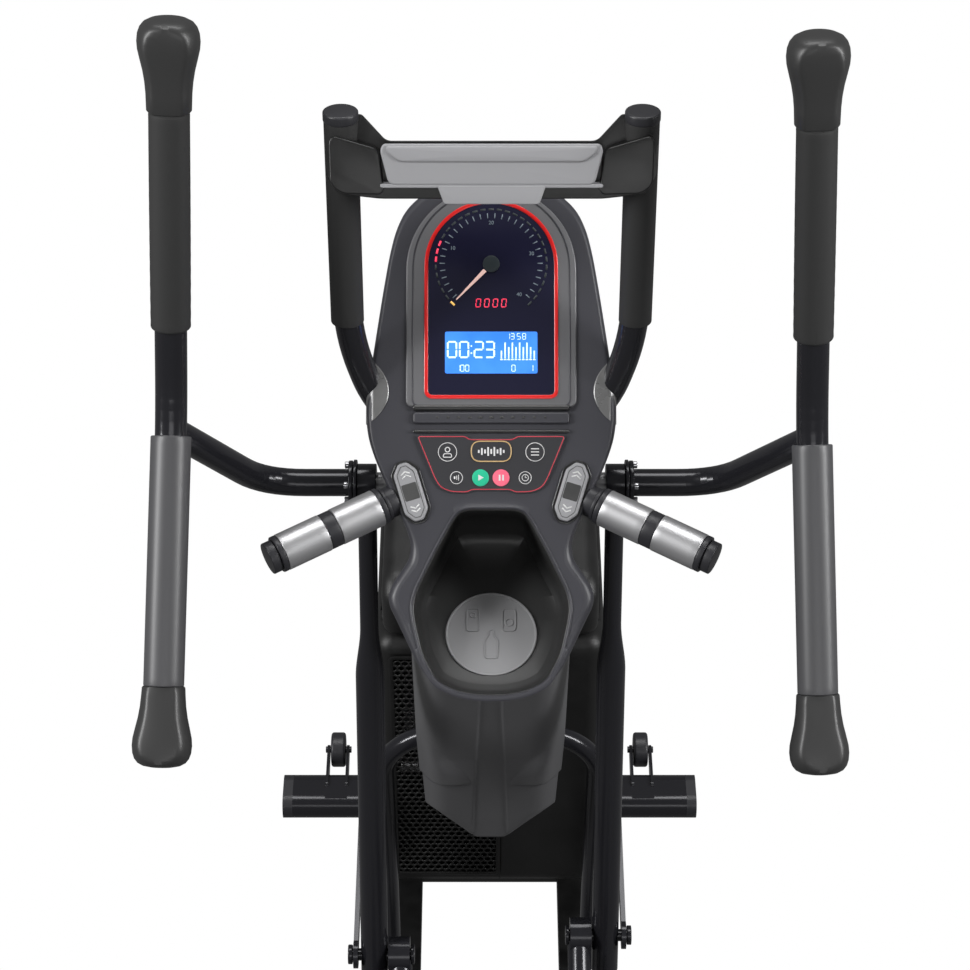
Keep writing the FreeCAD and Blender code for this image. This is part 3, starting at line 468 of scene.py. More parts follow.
def bars(boxes: Sequence, high: float, low: float = 0.0) -> Mesh:
    """Flat rectangular marks, each given as centre x, y, width, height and turn in radians."""
    b = np.asarray(boxes, float)
    square = np.array([[-1, -1], [1, -1], [1, 1], [-1, 1]]) / 2
    local = square[None] * b[:, None, 2:4]
    c, s = np.cos(b[:, 4])[:, None], np.sin(b[:, 4])[:, None]
    x = b[:, None, 0] + local[..., 0] * c - local[..., 1] * s
    y = b[:, None, 1] + local[..., 0] * s + local[..., 1] * c
    bottom = np.stack([x, y, np.full_like(x, low)], -1)
    top = np.stack([x, y, np.full_like(x, high)], -1)
    points = np.concatenate([bottom, top], 1).reshape(-1, 3)
    one = np.array([[0, 3, 2, 1], [4, 5, 6, 7], [0, 1, 5, 4], [1, 2, 6, 5], [2, 3, 7, 6], [3, 0, 4, 7]])
    faces = (one[None] + 8 * np.arange(len(b))[:, None, None]).reshape(-1, 4)
    return Mesh(points, faces.tolist())


def piece(name: str, mesh: Mesh, finish: Finish, body: str, node: Sequence[str] = (), sharp: float = 35.0,
          wall: float = 0.0) -> bpy.types.Object:
    """Makes a mesh object at its place, dresses it, and ties it to its body.

    Args:
        name: the piece's name.
        mesh: its surface in the design frame, millimetres.
        finish: its finish.
        body: the CAD body it moves with.
        node: CAD nodes it stands for.
        sharp: faces that meet at more than this many degrees keep a sharp edge.
        wall: thickness in millimetres given to an open sheet.

    Returns:
        The new object.
    """
    data = bpy.data.meshes.new(name)
    data.from_pydata((mesh.points + SHIFT) * MM, [], mesh.faces)
    shell = bmesh.new()
    shell.from_mesh(data)
    bmesh.ops.remove_doubles(shell, verts=shell.verts, dist=0.000005)
    bmesh.ops.recalc_face_normals(shell, faces=shell.faces)
    for edge in shell.edges:
        edge.smooth = len(edge.link_faces) < 2 or edge.calc_face_angle(0.0) < math.radians(sharp)
    shell.to_mesh(data)
    shell.free()
    data.polygons.foreach_set("use_smooth", np.ones(len(data.polygons), bool))
    data.materials.append(finish.material())
    made = bpy.data.objects.new(name, data)
    bpy.context.scene.collection.objects.link(made)
    if wall:
        skin = made.modifiers.new("wall", "SOLIDIFY")
        skin.thickness = wall * MM
        skin.offset = -1
    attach(made, body)
    finish.slot or finish.name
    if node:
        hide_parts(*node)
    LOG.info("%s on %s", name, body)
    return made


def lettering(name: str, words: str, size: float, place: Sequence, finish: Finish,
              move: Callable[[np.ndarray], np.ndarray] = on_console) -> bpy.types.Object:
    """A generic figure or sign as thin solid letters, centred at a place in the console's plane."""
    curve = bpy.data.curves.new(name, "FONT")
    curve.body, curve.size, curve.extrude = words, size, 0.15
    curve.align_x, curve.align_y = "CENTER", "CENTER"
    holder = bpy.data.objects.new(name, curve)
    bpy.context.scene.collection.objects.link(holder)
    bpy.context.view_layer.update()
    data = bpy.data.meshes.new_from_object(holder.evaluated_get(bpy.context.evaluated_depsgraph_get()))
    bpy.data.objects.remove(holder)
    flat = np.zeros(len(data.vertices) * 3)
    data.vertices.foreach_get("co", flat)
    points = flat.reshape(-1, 3) + np.asarray(place, float)
    mesh = Mesh(move(points), [list(p.vertices) for p in data.polygons])
    bpy.data.meshes.remove(data)
    return piece(name, mesh, finish, "frame")


# ------------------------------------------------------------------ arms

@dataclass
class SwingArm:
    """One swinging arm: hub, cross tube, grip bar, sleeves, end caps and lower arm."""

    side: Side
    grip_top: tuple = (326.6, 256.6, 1621.0)
    grip_bend: tuple = (346.0, 125.0, 1224.0)
    grip_end: tuple = (355.4, -125.4, 972.6)
    cross_end: tuple = (346.0, 116.0, 1215.0)
    bar_r: float = 17.3
    cross_r: float = 15.8
    foam_r: float = 21.3
    sleeve_r: float = 22.0
    foam_span: tuple = (75.2, 313.0)
    sleeve_span: tuple = (66.2, 336.0)
    lower_length: float = 764.0
    lower_r: tuple = (11.0, 17.4)
    swage: tuple = (200.0, 270.0)

    def build(self) -> None:
        """Makes every piece of the arm."""
        label, body = self.side.label, f"{self.side.label}_arm_body"
        move = on_arm(self.side)
        frame_parts = [self.grip_bar(), self.cross_tube(), self.lower_arm(), *self.hub(), *self.pin()]
        piece(f"{label}_arm_tubes", join(frame_parts).moved(move), GLOSS_BLACK, body, [f"{label}_arm"])
        foam = tube(straight(self.grip_top, self.grip_bend, *self.foam_span), self.foam_profile, 56, 3.0)
        sleeve = piece(f"{label}_foam_sleeve", foam.moved(move), FOAM, body, [f"{label}_upper_grip"])
        lower = tube(straight(self.grip_end, self.grip_bend, *self.sleeve_span), self.sleeve_r, 56, 1.5)
        piece(f"{label}_lower_sleeve", lower.moved(move), GRIP_GREY, body, [f"{label}_lower_grip"])
        caps = [self.bulb(self.grip_top, self.grip_bend, 75.0),
                self.bulb(self.grip_end, self.grip_bend, 66.0)]
        piece(f"{label}_bulbs", join(caps).moved(move), BULB, body, [f"{label}_grip_bulbs"], sharp=50)
        self.pivot_trim(move, body)

    def foam_profile(self, part: np.ndarray) -> np.ndarray:
        """The foam's radius: a slow swell, with faint rings of moulding."""
        return self.foam_r + 0.25 * np.sin(part * math.pi) + 0.12 * np.sin(part * 90)

    def grip_bar(self) -> Mesh:
        """The bar under the grips, with one bend."""
        return tube(smooth_path([self.grip_top, self.grip_bend, self.grip_end], 55), self.bar_r)

    def cross_tube(self) -> Mesh:
        """The tube from the hub out to the grip bar, in a wide bend."""
        start = (160.0, ARM_PIVOT_DESIGN_Y, ARM_PIVOT[2])
        knee = (262.0, ARM_PIVOT_DESIGN_Y, ARM_PIVOT[2])
        return tube(smooth_path([start, knee, self.cross_end], 62, 5), self.cross_r, 44)

    def lower_arm(self) -> Mesh:
        """The tube from the hub to the leg, narrow above and swaged wider below."""
        start, foot = (143.0, ARM_PIVOT_DESIGN_Y, ARM_PIVOT[2]), (150.0, 39.0, 369.0)
        path = straight(start, foot, 0.0, self.lower_length)

        def size(part: np.ndarray) -> np.ndarray:
            """Radius by a smooth step from the narrow to the wide value, over the swage."""
            start, end = self.swage
            narrow, wide = self.lower_r
            t = np.clip((part * self.lower_length - start) / (end - start), 0, 1)
            return narrow + (wide - narrow) * t * t * (3 - 2 * t)

        return tube(path, size, 44, 2.0)

    def hub(self) -> list:
        """The hub and its two bolted flanges."""
        spans = [(131.9, 154.0, 21.8), (154.0, 158.0, 26.5), (158.8, 163.6, 25.5)]
        return [tube(straight(PIVOT + [a, 0, 0], PIVOT + [b, 0, 0]), r, 56, 1.0) for a, b, r in spans]

    def pin(self) -> list:
        """The pin of the leg, with its heads."""
        centre = np.array([0.0, 39.0, 369.0])
        spans = [(102.0, 183.0, 7.9), (98.0, 102.8, 12.6), (178.2, 184.0, 12.6)]
        return [tube(straight(centre + [a, 0, 0], centre + [b, 0, 0]), r, 40, 1.0) for a, b, r in spans]

    def bulb(self, end: tuple, bend: tuple, length: float) -> Mesh:
        """A flared cap. Its radius follows the height, and the face towards the rider is drawn flat."""
        end, bend = np.array(end), np.array(bend)
        way = (bend - end) / np.linalg.norm(bend - end)
        heights = np.array([-21.5, -21, -19.5, -16.5, -12, -6, 2, 10, 20, 32, 44, 56, length - 1.5, length])
        radii = np.array([5, 13, 20.5, 26, 29.5, 31.6, 32.4, 31.8, 29.6, 26.8, 24.9, 23.9, 23.4, 22.2])
        front = np.array([0.0, -1.0, 1.0]) / math.sqrt(2)
        front = front - way * (front @ way)
        front /= np.linalg.norm(front)
        across = np.cross(way, front)
        t = np.linspace(0, 2 * math.pi, 64, endpoint=False)
        ahead, beside = np.cos(t)[None] * radii[:, None], np.sin(t)[None] * radii[:, None]
        limit = (24.0 - 0.10 * heights)[:, None]
        over = np.maximum(ahead - limit, 0)
        ahead = np.where(over > 0, limit + over * 0.25, ahead)
        middle = (end + way * heights[:, None])[:, None]
        points = middle + front * ahead[..., None] + across * beside[..., None]
        return grid(points)

    def pivot_trim(self, move: Callable, body: str) -> None:
        """Cap screws in the flange."""
        angles = np.radians([35, 145, 215, 325])
        heads = []
        for angle in angles:
            at = PIVOT + np.array([163.6, 20.6 * math.cos(angle), 20.6 * math.sin(angle)])
            heads.append(tube(straight(at, at + [5, 0, 0]), 4.0, 24, 0.8))
        label = self.side.label
        piece(f"{label}_cap_screws", join(heads).moved(move), BOLT, body, [f"{label}_arm_bolts"])


# ------------------------------------------------------------------ fixed handlebar and rack

@dataclass
class FixedHandlebar:
    """Two upright bars with sleeves, joined behind the console, and the rack between them."""

    sleeve_length: float = 244.0
    bar_r: float = 15.9
    sleeve_r: float = 18.3
    top: tuple = (159.0, 300.0, 1500.0)
    bend: tuple = (159.0, 246.0, 1244.0)

    def build(self) -> None:
        """Makes the bars, the sleeves, the rack and its ledge."""
        right = [self.top, self.bend, (132, 240, 1150), (88, 254.5, 1085), (0, 254.5, 1085)]
        left = [(-x, y, z) for x, y, z in right[:-1]]
        bar = tube(smooth_path(right + left[::-1], 50, 6), self.bar_r, 40)
        piece("fixed_handlebar", bar, GLOSS_BLACK, "frame", ["static_handlebar"])
        sleeves, ends = [], []
        for sign in (-1, 1):
            a, b = [np.array(p) * [sign, 1, 1] for p in (self.top, self.bend)]
            sleeves.append(tube(straight(a, b, 0, self.sleeve_length), self.sleeve_r, 48, 1.2))
            ends.append(tube(straight(a, b, -8.5, 3), self.sleeve_r + 0.7, 48, 2.2))
        piece("fixed_sleeves", join(sleeves), FOAM, "frame", ["static_grips"])
        piece("fixed_bar_ends", join(ends), BLACK_PLASTIC, "frame")
        self.rack()

    def rack(self) -> None:
        """The rack's back with horned wings, its ledge, front wall and catch."""
        half = [(108, 60), (113, 62), (137, 88), (143, 88), (147, 80), (170, 70), (176, 60), (176, 24),
                (163, 4), (118, -1)]
        loop = rounded_loop(half + [(-x, y) for x, y in reversed(half)], 6)
        piece("rack_back", slab(even_loop(loop, 420), -4.5, -0.5, 1.2).moved(on_rack), RACK_BLACK, "frame",
              ["media_rack"])
        floor = slab(soft_loop(rectangle(-117, 13, 117, 17), 1, 200), 0, 23, 0.6)
        wall = rounded_loop([(-108, 16), (108, 16), (117, 52), (114, 59), (-114, 59), (-117, 52)], 7)
        front = slab(even_loop(wall, 300), 20, 24, 2.0)
        upper = rounded_loop([(-97, 40), (97, 40), (110, 50), (111, 57), (-111, 57), (-110, 50)], 6)
        raised = slab(even_loop(upper, 300), 22, 27, 2.4, crown=0.6)
        tab = slab(soft_loop([(-50, -4), (50, -4), (57, 15), (-57, 15)], 3, 160), 21, 25, 1.0)
        ledge = join([floor, front, raised, tab])
        piece("rack_ledge", ledge.moved(on_rack), RACK_GREY, "frame", ["media_rack_lip"])
        for side in Side:
            wing = [(113, 5), (158, 6), (170, 16), (171, 62), (166, 67), (118, 53)]
            shape = [(side.value * x, y) for x, y in wing]
            loop = soft_loop(shape[::side.value], 8, 160)
            box = slab(loop, 0, 20, 2.0)
            piece(f"{side.label}_rack_wing", box.moved(on_rack), RACK_BLACK, "frame")


# ------------------------------------------------------------------ console

def mirrored(half: Sequence) -> list:
    """The whole outline from its right half, top to bottom."""
    return list(half) + [(-x, y) for x, y in reversed(list(half)) if x > 0.01]


@dataclass
class Console:
    """The console: a sculpted shell with a tray, a round-topped display, keys, rockers and pulse bars."""

    depth: float = 54.0
    outline: tuple = ((26, 350), (55, 345), (78, 332), (97, 314), (108, 290.5), (115, 262), (122.5, 218),
                      (131, 163), (137, 123), (140.5, 98), (141, 75), (138, 52), (130, 28), (106.6, -23.6),
                      (95, -49), (90, -66), (91.5, -82), (111, -111), (115.5, -124), (113.5, -136),
                      (103, -157), (86, -193), (76, -210), (61, -226), (42, -236), (16, -241))
    mouth: tuple = ((26, -28), (37, -31.5), (45, -43), (62, -75), (84, -120), (87.5, -138), (84.5, -156),
                    (77, -189), (61, -219), (38, -230), (15, -234))
    centre: tuple = (0.0, -130.0)
    sides: int = 720
    dial_centre: tuple = (0.0, 250.0)
    dial_start: float = 226.0
    dial_step: float = 8.5
    dial_marks: int = 32
    rocker_half: tuple = (13.6, 33.6)
    rocker_place: tuple = (90.0, -8.0)
    rocker_lean: float = 17.0
    tray_back: float = 180.5
    pulse_from: tuple = (105.0, 144.0, 1089.0)
    pulse_to: tuple = (249.0, 64.0, 1073.0)

    def radius(self, half: Sequence, reach: float) -> np.ndarray:
        """An outline's distance from the mouth's centre, for evenly spaced angles."""
        loop = even_loop(rounded_loop(mirrored(half), reach, 12), 4000) - np.array(self.centre)
        angle = np.arctan2(loop[:, 1], loop[:, 0])
        order = np.argsort(angle)
        turn = self.turns()
        return np.interp(turn, angle[order], np.hypot(*loop[order].T), period=2 * math.pi)

    def turns(self) -> np.ndarray:
        """The surface's evenly spaced angles."""
        return np.linspace(-math.pi, math.pi, self.sides, endpoint=False)

    def ring(self, distance: np.ndarray, height) -> np.ndarray:
        """A loop of the shell: a point at each angle, at a distance from the centre and a height."""
        t = self.turns()
        x, y = self.centre[0] + distance * np.cos(t), self.centre[1] + distance * np.sin(t)
        return np.stack([x, y, np.broadcast_to(height, x.shape)], -1)

    def build(self) -> None:
        """Makes every piece of the console."""
        self.shell()
        self.tray()
        self.display()
        self.vents_and_keys()
        self.rockers()
        self.pulse_bars()

    def shell(self) -> None:
        """The front shell: from its back edge, round its side, over the face and down into the mouth.

        The face's height is a shallow dish: it rises towards the sides as a squared sine of the distance, and
        falls by a step beside the mouth, where a raised rim runs.
        """
        out, mouth = self.radius(self.outline, 14), self.radius(self.mouth, 10)
        rows = [self.ring(out - 9, -self.depth), self.ring(out - 3, -self.depth + 4)]
        for side in np.linspace(0, 1, 6):
            rows.append(self.ring(out - 2.5 * (1 - side) ** 2, -self.depth + 8 + side * (self.depth - 19)))
        bend = np.minimum(11.0, (out - mouth) * 0.6)
        for a in np.linspace(0.1, math.pi / 2, 8):
            rows.append(self.ring(out - bend * (1 - math.cos(a)), -11 + 10 * math.sin(a)))
        for k in np.linspace(0.03, 0.97, 14):
            distance = (out - bend) * (1 - k) + (mouth + 4.8) * k
            dish = -0.9 - 1.6 * math.sin(math.pi * k) ** 2 * (np.clip((out - mouth) / 200, 0, 1))
            rows.append(self.ring(distance, dish))
        for gap, height in ((4.6, -1.0), (3.8, 0.2), (2.9, 0.7), (1.9, 0.3), (1.0, -1.0), (0.4, -3.0),
                            (0.2, -14.0), (0.2, -26.0)):
            rows.append(self.ring(mouth + gap, height))
        surface = grid(np.array(rows), caps=False).moved(on_console)
        piece("console_shell", surface, CONSOLE, "frame", ["console_housing"], wall=2.6, sharp=60)
        plate = [self.ring(out - 10, -self.depth + 2.6), self.ring(out - 10.5, -self.depth - 0.4),
                 self.ring(mouth + 1, -self.depth - 0.4), self.ring(mouth + 1, -self.depth + 2.6),
                 self.ring(out - 10, -self.depth + 2.6)]
        plate = grid(np.array(plate), caps=False).moved(on_console)
        piece("console_rear_plate", plate, BLACK_PLASTIC, "frame", ["console_back"])
        self.cheeks()

    def cheeks(self) -> None:
        """A lens-shaped sheet of lighter, half-metallic console plastic on each side: a painted highlight. It
        lies just over the shell's rounded edge.
        """
        t = np.linspace(-1, 1, 41)[:, None]
        across = np.linspace(0, 1, 15)[None]
        inner = 140.0 - 25.0 * np.clip(1 - t ** 2, 0, 1) ** 0.8
        outer = 140.9 - 2.5 * np.clip(t, 0, 1) ** 2 + 0 * inner
        x = inner + (outer - inner) * across
        over = np.clip(x - (outer - 11), 0, 10.9) / 11
        z = -0.2 - 10 * (1 - np.sqrt(1 - over ** 2)) + 0 * t
        y = 106 + 37 * t + 0 * x
        points = np.stack([x, y, z], -1)
        for side in Side:
            sheet = grid(points * np.array([side.value, 1, 1]), ring=False, caps=False).moved(on_console)
            piece(f"{side.label}_console_cheek", sheet, CHEEK_HIGHLIGHT, "frame", wall=0.8)

    def tray(self) -> None:
        """The tray: walls that run down from the mouth to a sloping floor, and its mat."""
        mouth = self.radius(self.mouth, 10)
        floor_z, floor_y, slope = -74.0, -162.0, math.tan(math.radians(24))
        t = self.turns()
        y = self.centre[1] + mouth * np.sin(t)
        floor = np.maximum(floor_z - slope * (y - floor_y), -118.0)
        rows = [self.ring(mouth - 0.1, -2.0)]
        for k in np.linspace(0.1, 0.9, 6):
            rows.append(self.ring(mouth - 0.1 - 4 * k ** 4, -2 + (floor + 8) * k))
        for a in np.linspace(0.2, math.pi / 2, 5):
            rows.append(self.ring(mouth - 4 - 8 * math.sin(a), floor + 8 - 7.5 * math.sin(a)))
        for k in (0.7, 0.4, 0.12):
            near = mouth * k
            y_in = self.centre[1] + near * np.sin(t)
            rows.append(self.ring(near, np.maximum(floor_z - slope * (y_in - floor_y), -118.0) + 0.6))
        points = np.array(rows)
        surface = grid(points, caps=False)
        centre = points[-1].mean(0)
        surface = fanned(surface, centre, self.sides).moved(on_console)
        surface.points[:, 1] = np.minimum(surface.points[:, 1], self.tray_back)
        piece("tray_well", surface, TRAY, "frame", ["accessory_tray"], wall=-2.4, sharp=50)
        self.mat()

    def mat(self) -> None:
        """A round mat with a raised rim and generic raised marks: a bottle, a card, a player, two rings."""
        tilt_angle = math.radians(16)

        def lay(points: np.ndarray) -> np.ndarray:
            """Lays points on the tray's floor."""
            return tilt(np.asarray(points, float), tilt_angle) + np.array([0.0, 69.0, 945.0])

        middle = -4.0
        plate = slab(circle(0, middle, 52.5, 96), 3.2, 5.6, 1.0)
        marks = [ribbon(circle(0, middle, 51.0, 96), 2.2, 5.0, 7.2)]
        bottle = rounded_loop([(-7, -34), (7, -34), (8, -12), (3, -6), (3, 1), (-3, 1), (-3, -6),
                               (-8, -12)], 3)
        card = rounded_loop(rectangle(-28, 0, -14, 28), 3)
        player = rounded_loop(rectangle(13, 0, 28, 28), 5)
        for outline in (bottle, card, player):
            marks.append(ribbon(even_loop(outline, 100), 1.3, 5.0, 6.9))
        marks.append(ribbon(circle(20.5, 11, 4.4, 32), 1.2, 5.0, 6.9))
        marks.append(ribbon(circle(-21, 20, 3.0, 24), 1.1, 5.0, 6.9))
        piece("mat_disc", join([plate] + marks).moved(lay), MAT, "frame", ["tray_mat"])

    def arch(self, half: float, low: float, centre: float, count: int = 260) -> np.ndarray:
        """The display's outline: a flat foot with small corners, straight sides and a round top."""
        t = np.linspace(0, math.pi, 60)
        top = np.column_stack([half * np.cos(t), centre + half * np.sin(t)])
        foot = rounded_loop([(-half, low + 30), (-half, low), (half, low), (half, low + 30)], 8)
        keep = foot[(foot[:, 1] < low + 20)]
        return even_loop(np.vstack([top, keep]), count)

    def display(self) -> None:
        """The display: surround, red ring, dark glass, a dial with its needle, and a lit panel."""
        surround = slab(self.arch(96, 88, 243), -2.0, 1.6, 1.8)
        piece("display_frame", surround.moved(on_console), GUNMETAL, "frame", ["display_surround"])
        step = ribbon(self.arch(88.5, 89, 246), 1.6, 0.5, 2.3)
        piece("display_step", step.moved(on_console), CONSOLE, "frame")
        ring = ribbon(self.arch(73.2, 99, 248), 4.2, 0.5, 3.2)
        piece("red_surround", ring.moved(on_console), RED_RING_GLOW, "frame", ["display_bezel"])
        glass = slab(self.arch(71.3, 101, 248), 0.4, 2.2, 0.5)
        piece("display_pane", glass.moved(on_console), GLASS, "frame", ["display_lens"])
        self.dial()
        self.panel()

    def dial(self) -> None:
        """The dial: thirty-two ticks over 272 degrees, an outer row of dashes, four figures and a needle."""
        (x0, y0), top, marks = self.dial_centre, 2.45, self.dial_marks
        angle = np.radians(self.dial_start - self.dial_step * (np.arange(marks) + 0.5))
        ticks = np.column_stack([x0 + 55.2 * np.cos(angle), y0 + 55.2 * np.sin(angle), np.full(marks, 5.8),
                                 np.full(marks, 1.0), angle])
        piece("dial_ticks", bars(ticks, top, 2.0).moved(on_console), TICK_INK, "frame")
        number = np.arange(marks + 1)
        turn = np.radians(self.dial_start - self.dial_step * number)
        dashes = np.column_stack([x0 + 62.5 * np.cos(turn), y0 + 62.5 * np.sin(turn), np.full(marks + 1, 2.2),
                                  np.full(marks + 1, 6.0), turn])
        lit = np.isin(number, (6, 7, 8))
        first = number == 0
        piece("dial_dashes", bars(dashes[~lit & ~first], top, 2.0).moved(on_console), DIM_INK, "frame")
        piece("dial_lit_dashes", bars(dashes[lit], top, 2.0).moved(on_console), RED_LIGHT, "frame")
        piece("dial_first_dash", bars(dashes[first], top, 2.0).moved(on_console), AMBER_LIGHT, "frame")
        for figure, degrees in ((10, 157.5), (20, 90.0), (30, 14.5), (40, -48.0)):
            a = math.radians(degrees)
            lettering(f"dial_figure_{figure}", str(figure), 6.0,
                      (x0 + 47 * math.cos(a), y0 + 47 * math.sin(a), 2.4), TICK_INK)
        way = math.radians(self.dial_start)
        tip, tail = 57.0, 10.0
        side = np.array([-math.sin(way), math.cos(way)])
        along = np.array([math.cos(way), math.sin(way)])
        centre = np.array([x0, y0])
        corners = [centre + along * tail + side * 2.3, centre + along * tip + side * 0.6,
                   centre + along * tip - side * 0.6, centre + along * tail - side * 2.3]
        needle = slab(even_loop(np.array(corners), 80), 2.2, 3.2, 0.3)
        piece("dial_needle", needle.moved(on_console), PINK_LIGHT, "frame")
        hub = slab(circle(x0, y0, 9.5), 2.2, 3.6, 0.6)
        piece("dial_hub", hub.moved(on_console), DIM_INK, "frame")

    def digit(self, value: int, x: float, y: float, height: float, slant: float = 0.0) -> list:
        """The lit bars of a seven-bar figure, as rectangles."""
        width, thick = height * 0.55, height * 0.11
        lit = {0: "abcdef", 1: "bc", 2: "abged", 3: "abgcd", 5: "afgcd", 8: "abcdefg"}[value]
        h = height / 2
        where = {"a": (0, h, 0), "g": (0, 0, 0), "d": (0, -h, 0), "b": (1, h / 2, 1), "c": (1, -h / 2, 1),
                 "f": (-1, h / 2, 1), "e": (-1, -h / 2, 1)}
        rows = []
        for bar in lit:
            sx, dy, upright = where[bar]
            size = (thick, h * 0.86) if upright else (width * 0.86, thick)
            rows.append((x + sx * width / 2 + slant * dy, y + dy, *size, 0.0))
        return rows

    def panel(self) -> None:
        """Red figures, and the blue panel with its clock, bars and small readings."""
        rows = [r for k in range(4) for r in self.digit(0, -14.5 + 9.6 * k, 205.5, 9.0, 0.12)]
        piece("calorie_figures", bars(rows, 2.5, 2.0).moved(on_console), RED_LIGHT, "frame")
        blue = slab(soft_loop(rectangle(-52, 125.5, 52, 173), 2, 160), 1.8, 2.5, 0.3)
        piece("blue_panel", blue.moved(on_console), LCD, "frame")
        rows = []
        for value, x in ((0, -44.0), (0, -30.5), (2, -14.0), (3, -1.5)):
            rows += self.digit(value, x, 152.5, 17.5)
        rows += [(-22.3, 156.5, 1.7, 1.7, 0), (-22.3, 148.5, 1.7, 1.7, 0)]
        for value, x in ((1, 19.0), (3, 24.0), (5, 31.0), (8, 37.0)):
            rows += self.digit(value, x, 167.5, 6.5)
        levels = np.array([0.5, 1, 0.72, 1, 0.72, 1, 0.72, 1, 0.72, 0.5])
        for k, level in enumerate(levels):
            rows.append((11.5 + 4.1 * k, 142.0 + 9.5 * level, 1.6, 18 * level, 0))
            rows.append((11.5 + 4.1 * k, 141.2, 3.0, 1.2, 0))
        for value, x, y in ((1, -37, 131.5), (0, -32.5, 131.5), (0, -27, 131.5), (0, 25, 131.5),
                            (1, 45, 131.5)):
            rows += self.digit(value, x, y, 7.0)
        piece("panel_figures", bars(rows, 2.8, 2.4).moved(on_console), LCD_WHITE, "frame")

    def vents_and_keys(self) -> None:
        """The slotted bar, the ridge under it, and the keypad with its outline, keys and signs."""
        bar = slab(soft_loop(rectangle(-88, 69, 88, 82), 4, 300), -1, 2.9, 2.4)
        piece("slotted_bar", bar.moved(on_console), CONSOLE, "frame", ["vent_bar"])
        # Flat black bars on the bar's top stand for the slots: painted shade inside the slot openings.
        slots = [((k - 5) * 12.1, 76.0, 5.6 - 0.65 * abs(k - 5), 2.6, 0.0) for k in range(11)]
        piece("slot_painted_shade", bars(slots, 3.05, 2.5).moved(on_console), TRAY, "frame")
        roll = tube(straight((-88, 87, 0.4), (88, 87, 0.4)), 3.4, 24)
        piece("display_roll", roll.moved(on_console), CONSOLE_GLOSS, "frame")
        ridge = slab(soft_loop(rectangle(-88, 58.6, 88, 62), 1.5, 260), -1, 2.2, 1.5)
        piece("keypad_ridge", ridge.moved(on_console), CONSOLE_GLOSS, "frame")
        half = [(24, 52.5), (29, 56), (84.5, 56), (64, 6), (58, -3.5), (46, -9), (27, -9.5), (21, -6.6)]
        loop = soft_loop(mirrored(half), 6, 420)
        piece("keypad_panel", slab(loop, -2, 1.1, 0.4).moved(on_console), KEYPAD, "frame", ["keypad"])
        piece("keypad_line_glow", ribbon(inset(loop, 1.6), 1.0, 0.9, 1.45).moved(on_console), PINK_LINE_GLOW, "frame")
        keys = [("user", -49, 37, 10.2, KEYPAD), ("program", 49, 37, 10.2, KEYPAD),
                ("sound", -39, 8, 6.7, KEYPAD), ("start", -12, 8, 9.0, GREEN_KEY_GLOW),
                ("stop", 11, 8, 9.0, PINK_KEY_GLOW), ("time", 38, 8, 6.7, KEYPAD)]
        for label, x, y, r, finish in keys:
            key = slab(circle(x, y, r), 0.6, 2.2, 0.7, crown=0.3)
            piece(f"{label}_key", key.moved(on_console), finish, "frame")
            line = ribbon(circle(x, y, r), 0.9, 0.9, 2.0)
            ring = finish if finish in (GREEN_KEY_GLOW, PINK_KEY_GLOW) else WHITE_INK_GLOW
            piece(f"{label}_key_ring", line.moved(on_console), ring, "frame")
        pill = soft_loop(rectangle(-22.3, 26.4, 22.3, 49), 17, 160)
        piece("interval_key", slab(pill, 0.6, 2.2, 0.8, crown=0.3).moved(on_console), KEYPAD, "frame")
        piece("interval_key_line", ribbon(pill, 1.4, 0.9, 2.3).moved(on_console), GOLD_LINE_GLOW, "frame")
        self.key_signs()

    def key_signs(self) -> None:
        """Generic signs: head and shoulders, lines, pause, a clock, sound bars, play and level bars."""
        high, low = 2.75, 2.2
        signs = [ribbon(circle(-49, 39.5, 2.6, 24), 1.0, low, high),
                 ribbon(soft_loop([(-54, 31), (-44, 31), (-45, 35), (-53, 35)], 1.5, 60), 0.9, low, high),
                 bars([(49, 40.5, 9, 1.1, 0), (49, 37, 9, 1.1, 0), (49, 33.5, 9, 1.1, 0)], high, low),
                 bars([(9.3, 8, 2.0, 6.5, 0), (13.2, 8, 2.0, 6.5, 0)], high, low),
                 ribbon(circle(38, 8, 3.6, 24), 0.8, low, high),
                 bars([(38, 9.2, 0.7, 2.6, 0), (38.9, 8, 2.0, 0.7, 0)], high, low),
                 bars([(-41, 8, 1.6, 3.0, 0), (-38.6, 8, 0.8, 4.6, 0), (-36.6, 8, 0.8, 6.4, 0)], high, low),
                 slab(even_loop(np.array([(-14.5, 4.6), (-8.4, 8), (-14.5, 11.4)]), 60), low, high, 0.15)]
        steps = np.array([3, 7, 4, 9, 5, 9, 4, 7, 3])
        rows = [(-14 + 3.5 * k, 37.5, 1.9, 1.1 * h, 0.0) for k, h in enumerate(steps)]
        signs.append(bars(rows, high, low))
        piece("key_signs", join(signs).moved(on_console), WHITE_INK_GLOW, "frame")

    def rockers(self) -> None:
        """A long hexagonal rocker on each side of the keypad, with a chevron at each end."""
        for side in Side:
            sign, lean = side.value, math.radians(self.rocker_lean)
            w, h = self.rocker_half
            hexagon = [(0, h), (w, h - 11), (w, 11 - h), (0, -h), (-w, 11 - h), (-w, h - 11)]
            blunt = rounded_loop([(-5, h)] + [(5, h)] + hexagon[1:3] + [(5, -h), (-5, -h)] + hexagon[4:], 3)

            def place(points: np.ndarray, s: int = sign) -> np.ndarray:
                """Leans the rocker outwards and puts it beside the keypad."""
                p = np.asarray(points, float)
                c, k = math.cos(lean), math.sin(lean)
                x, y = p[..., 0] * c + p[..., 1] * k, p[..., 1] * c - p[..., 0] * k
                across, along = self.rocker_place
                return on_console(np.stack([s * (x + across), y + along, p[..., 2]], -1))

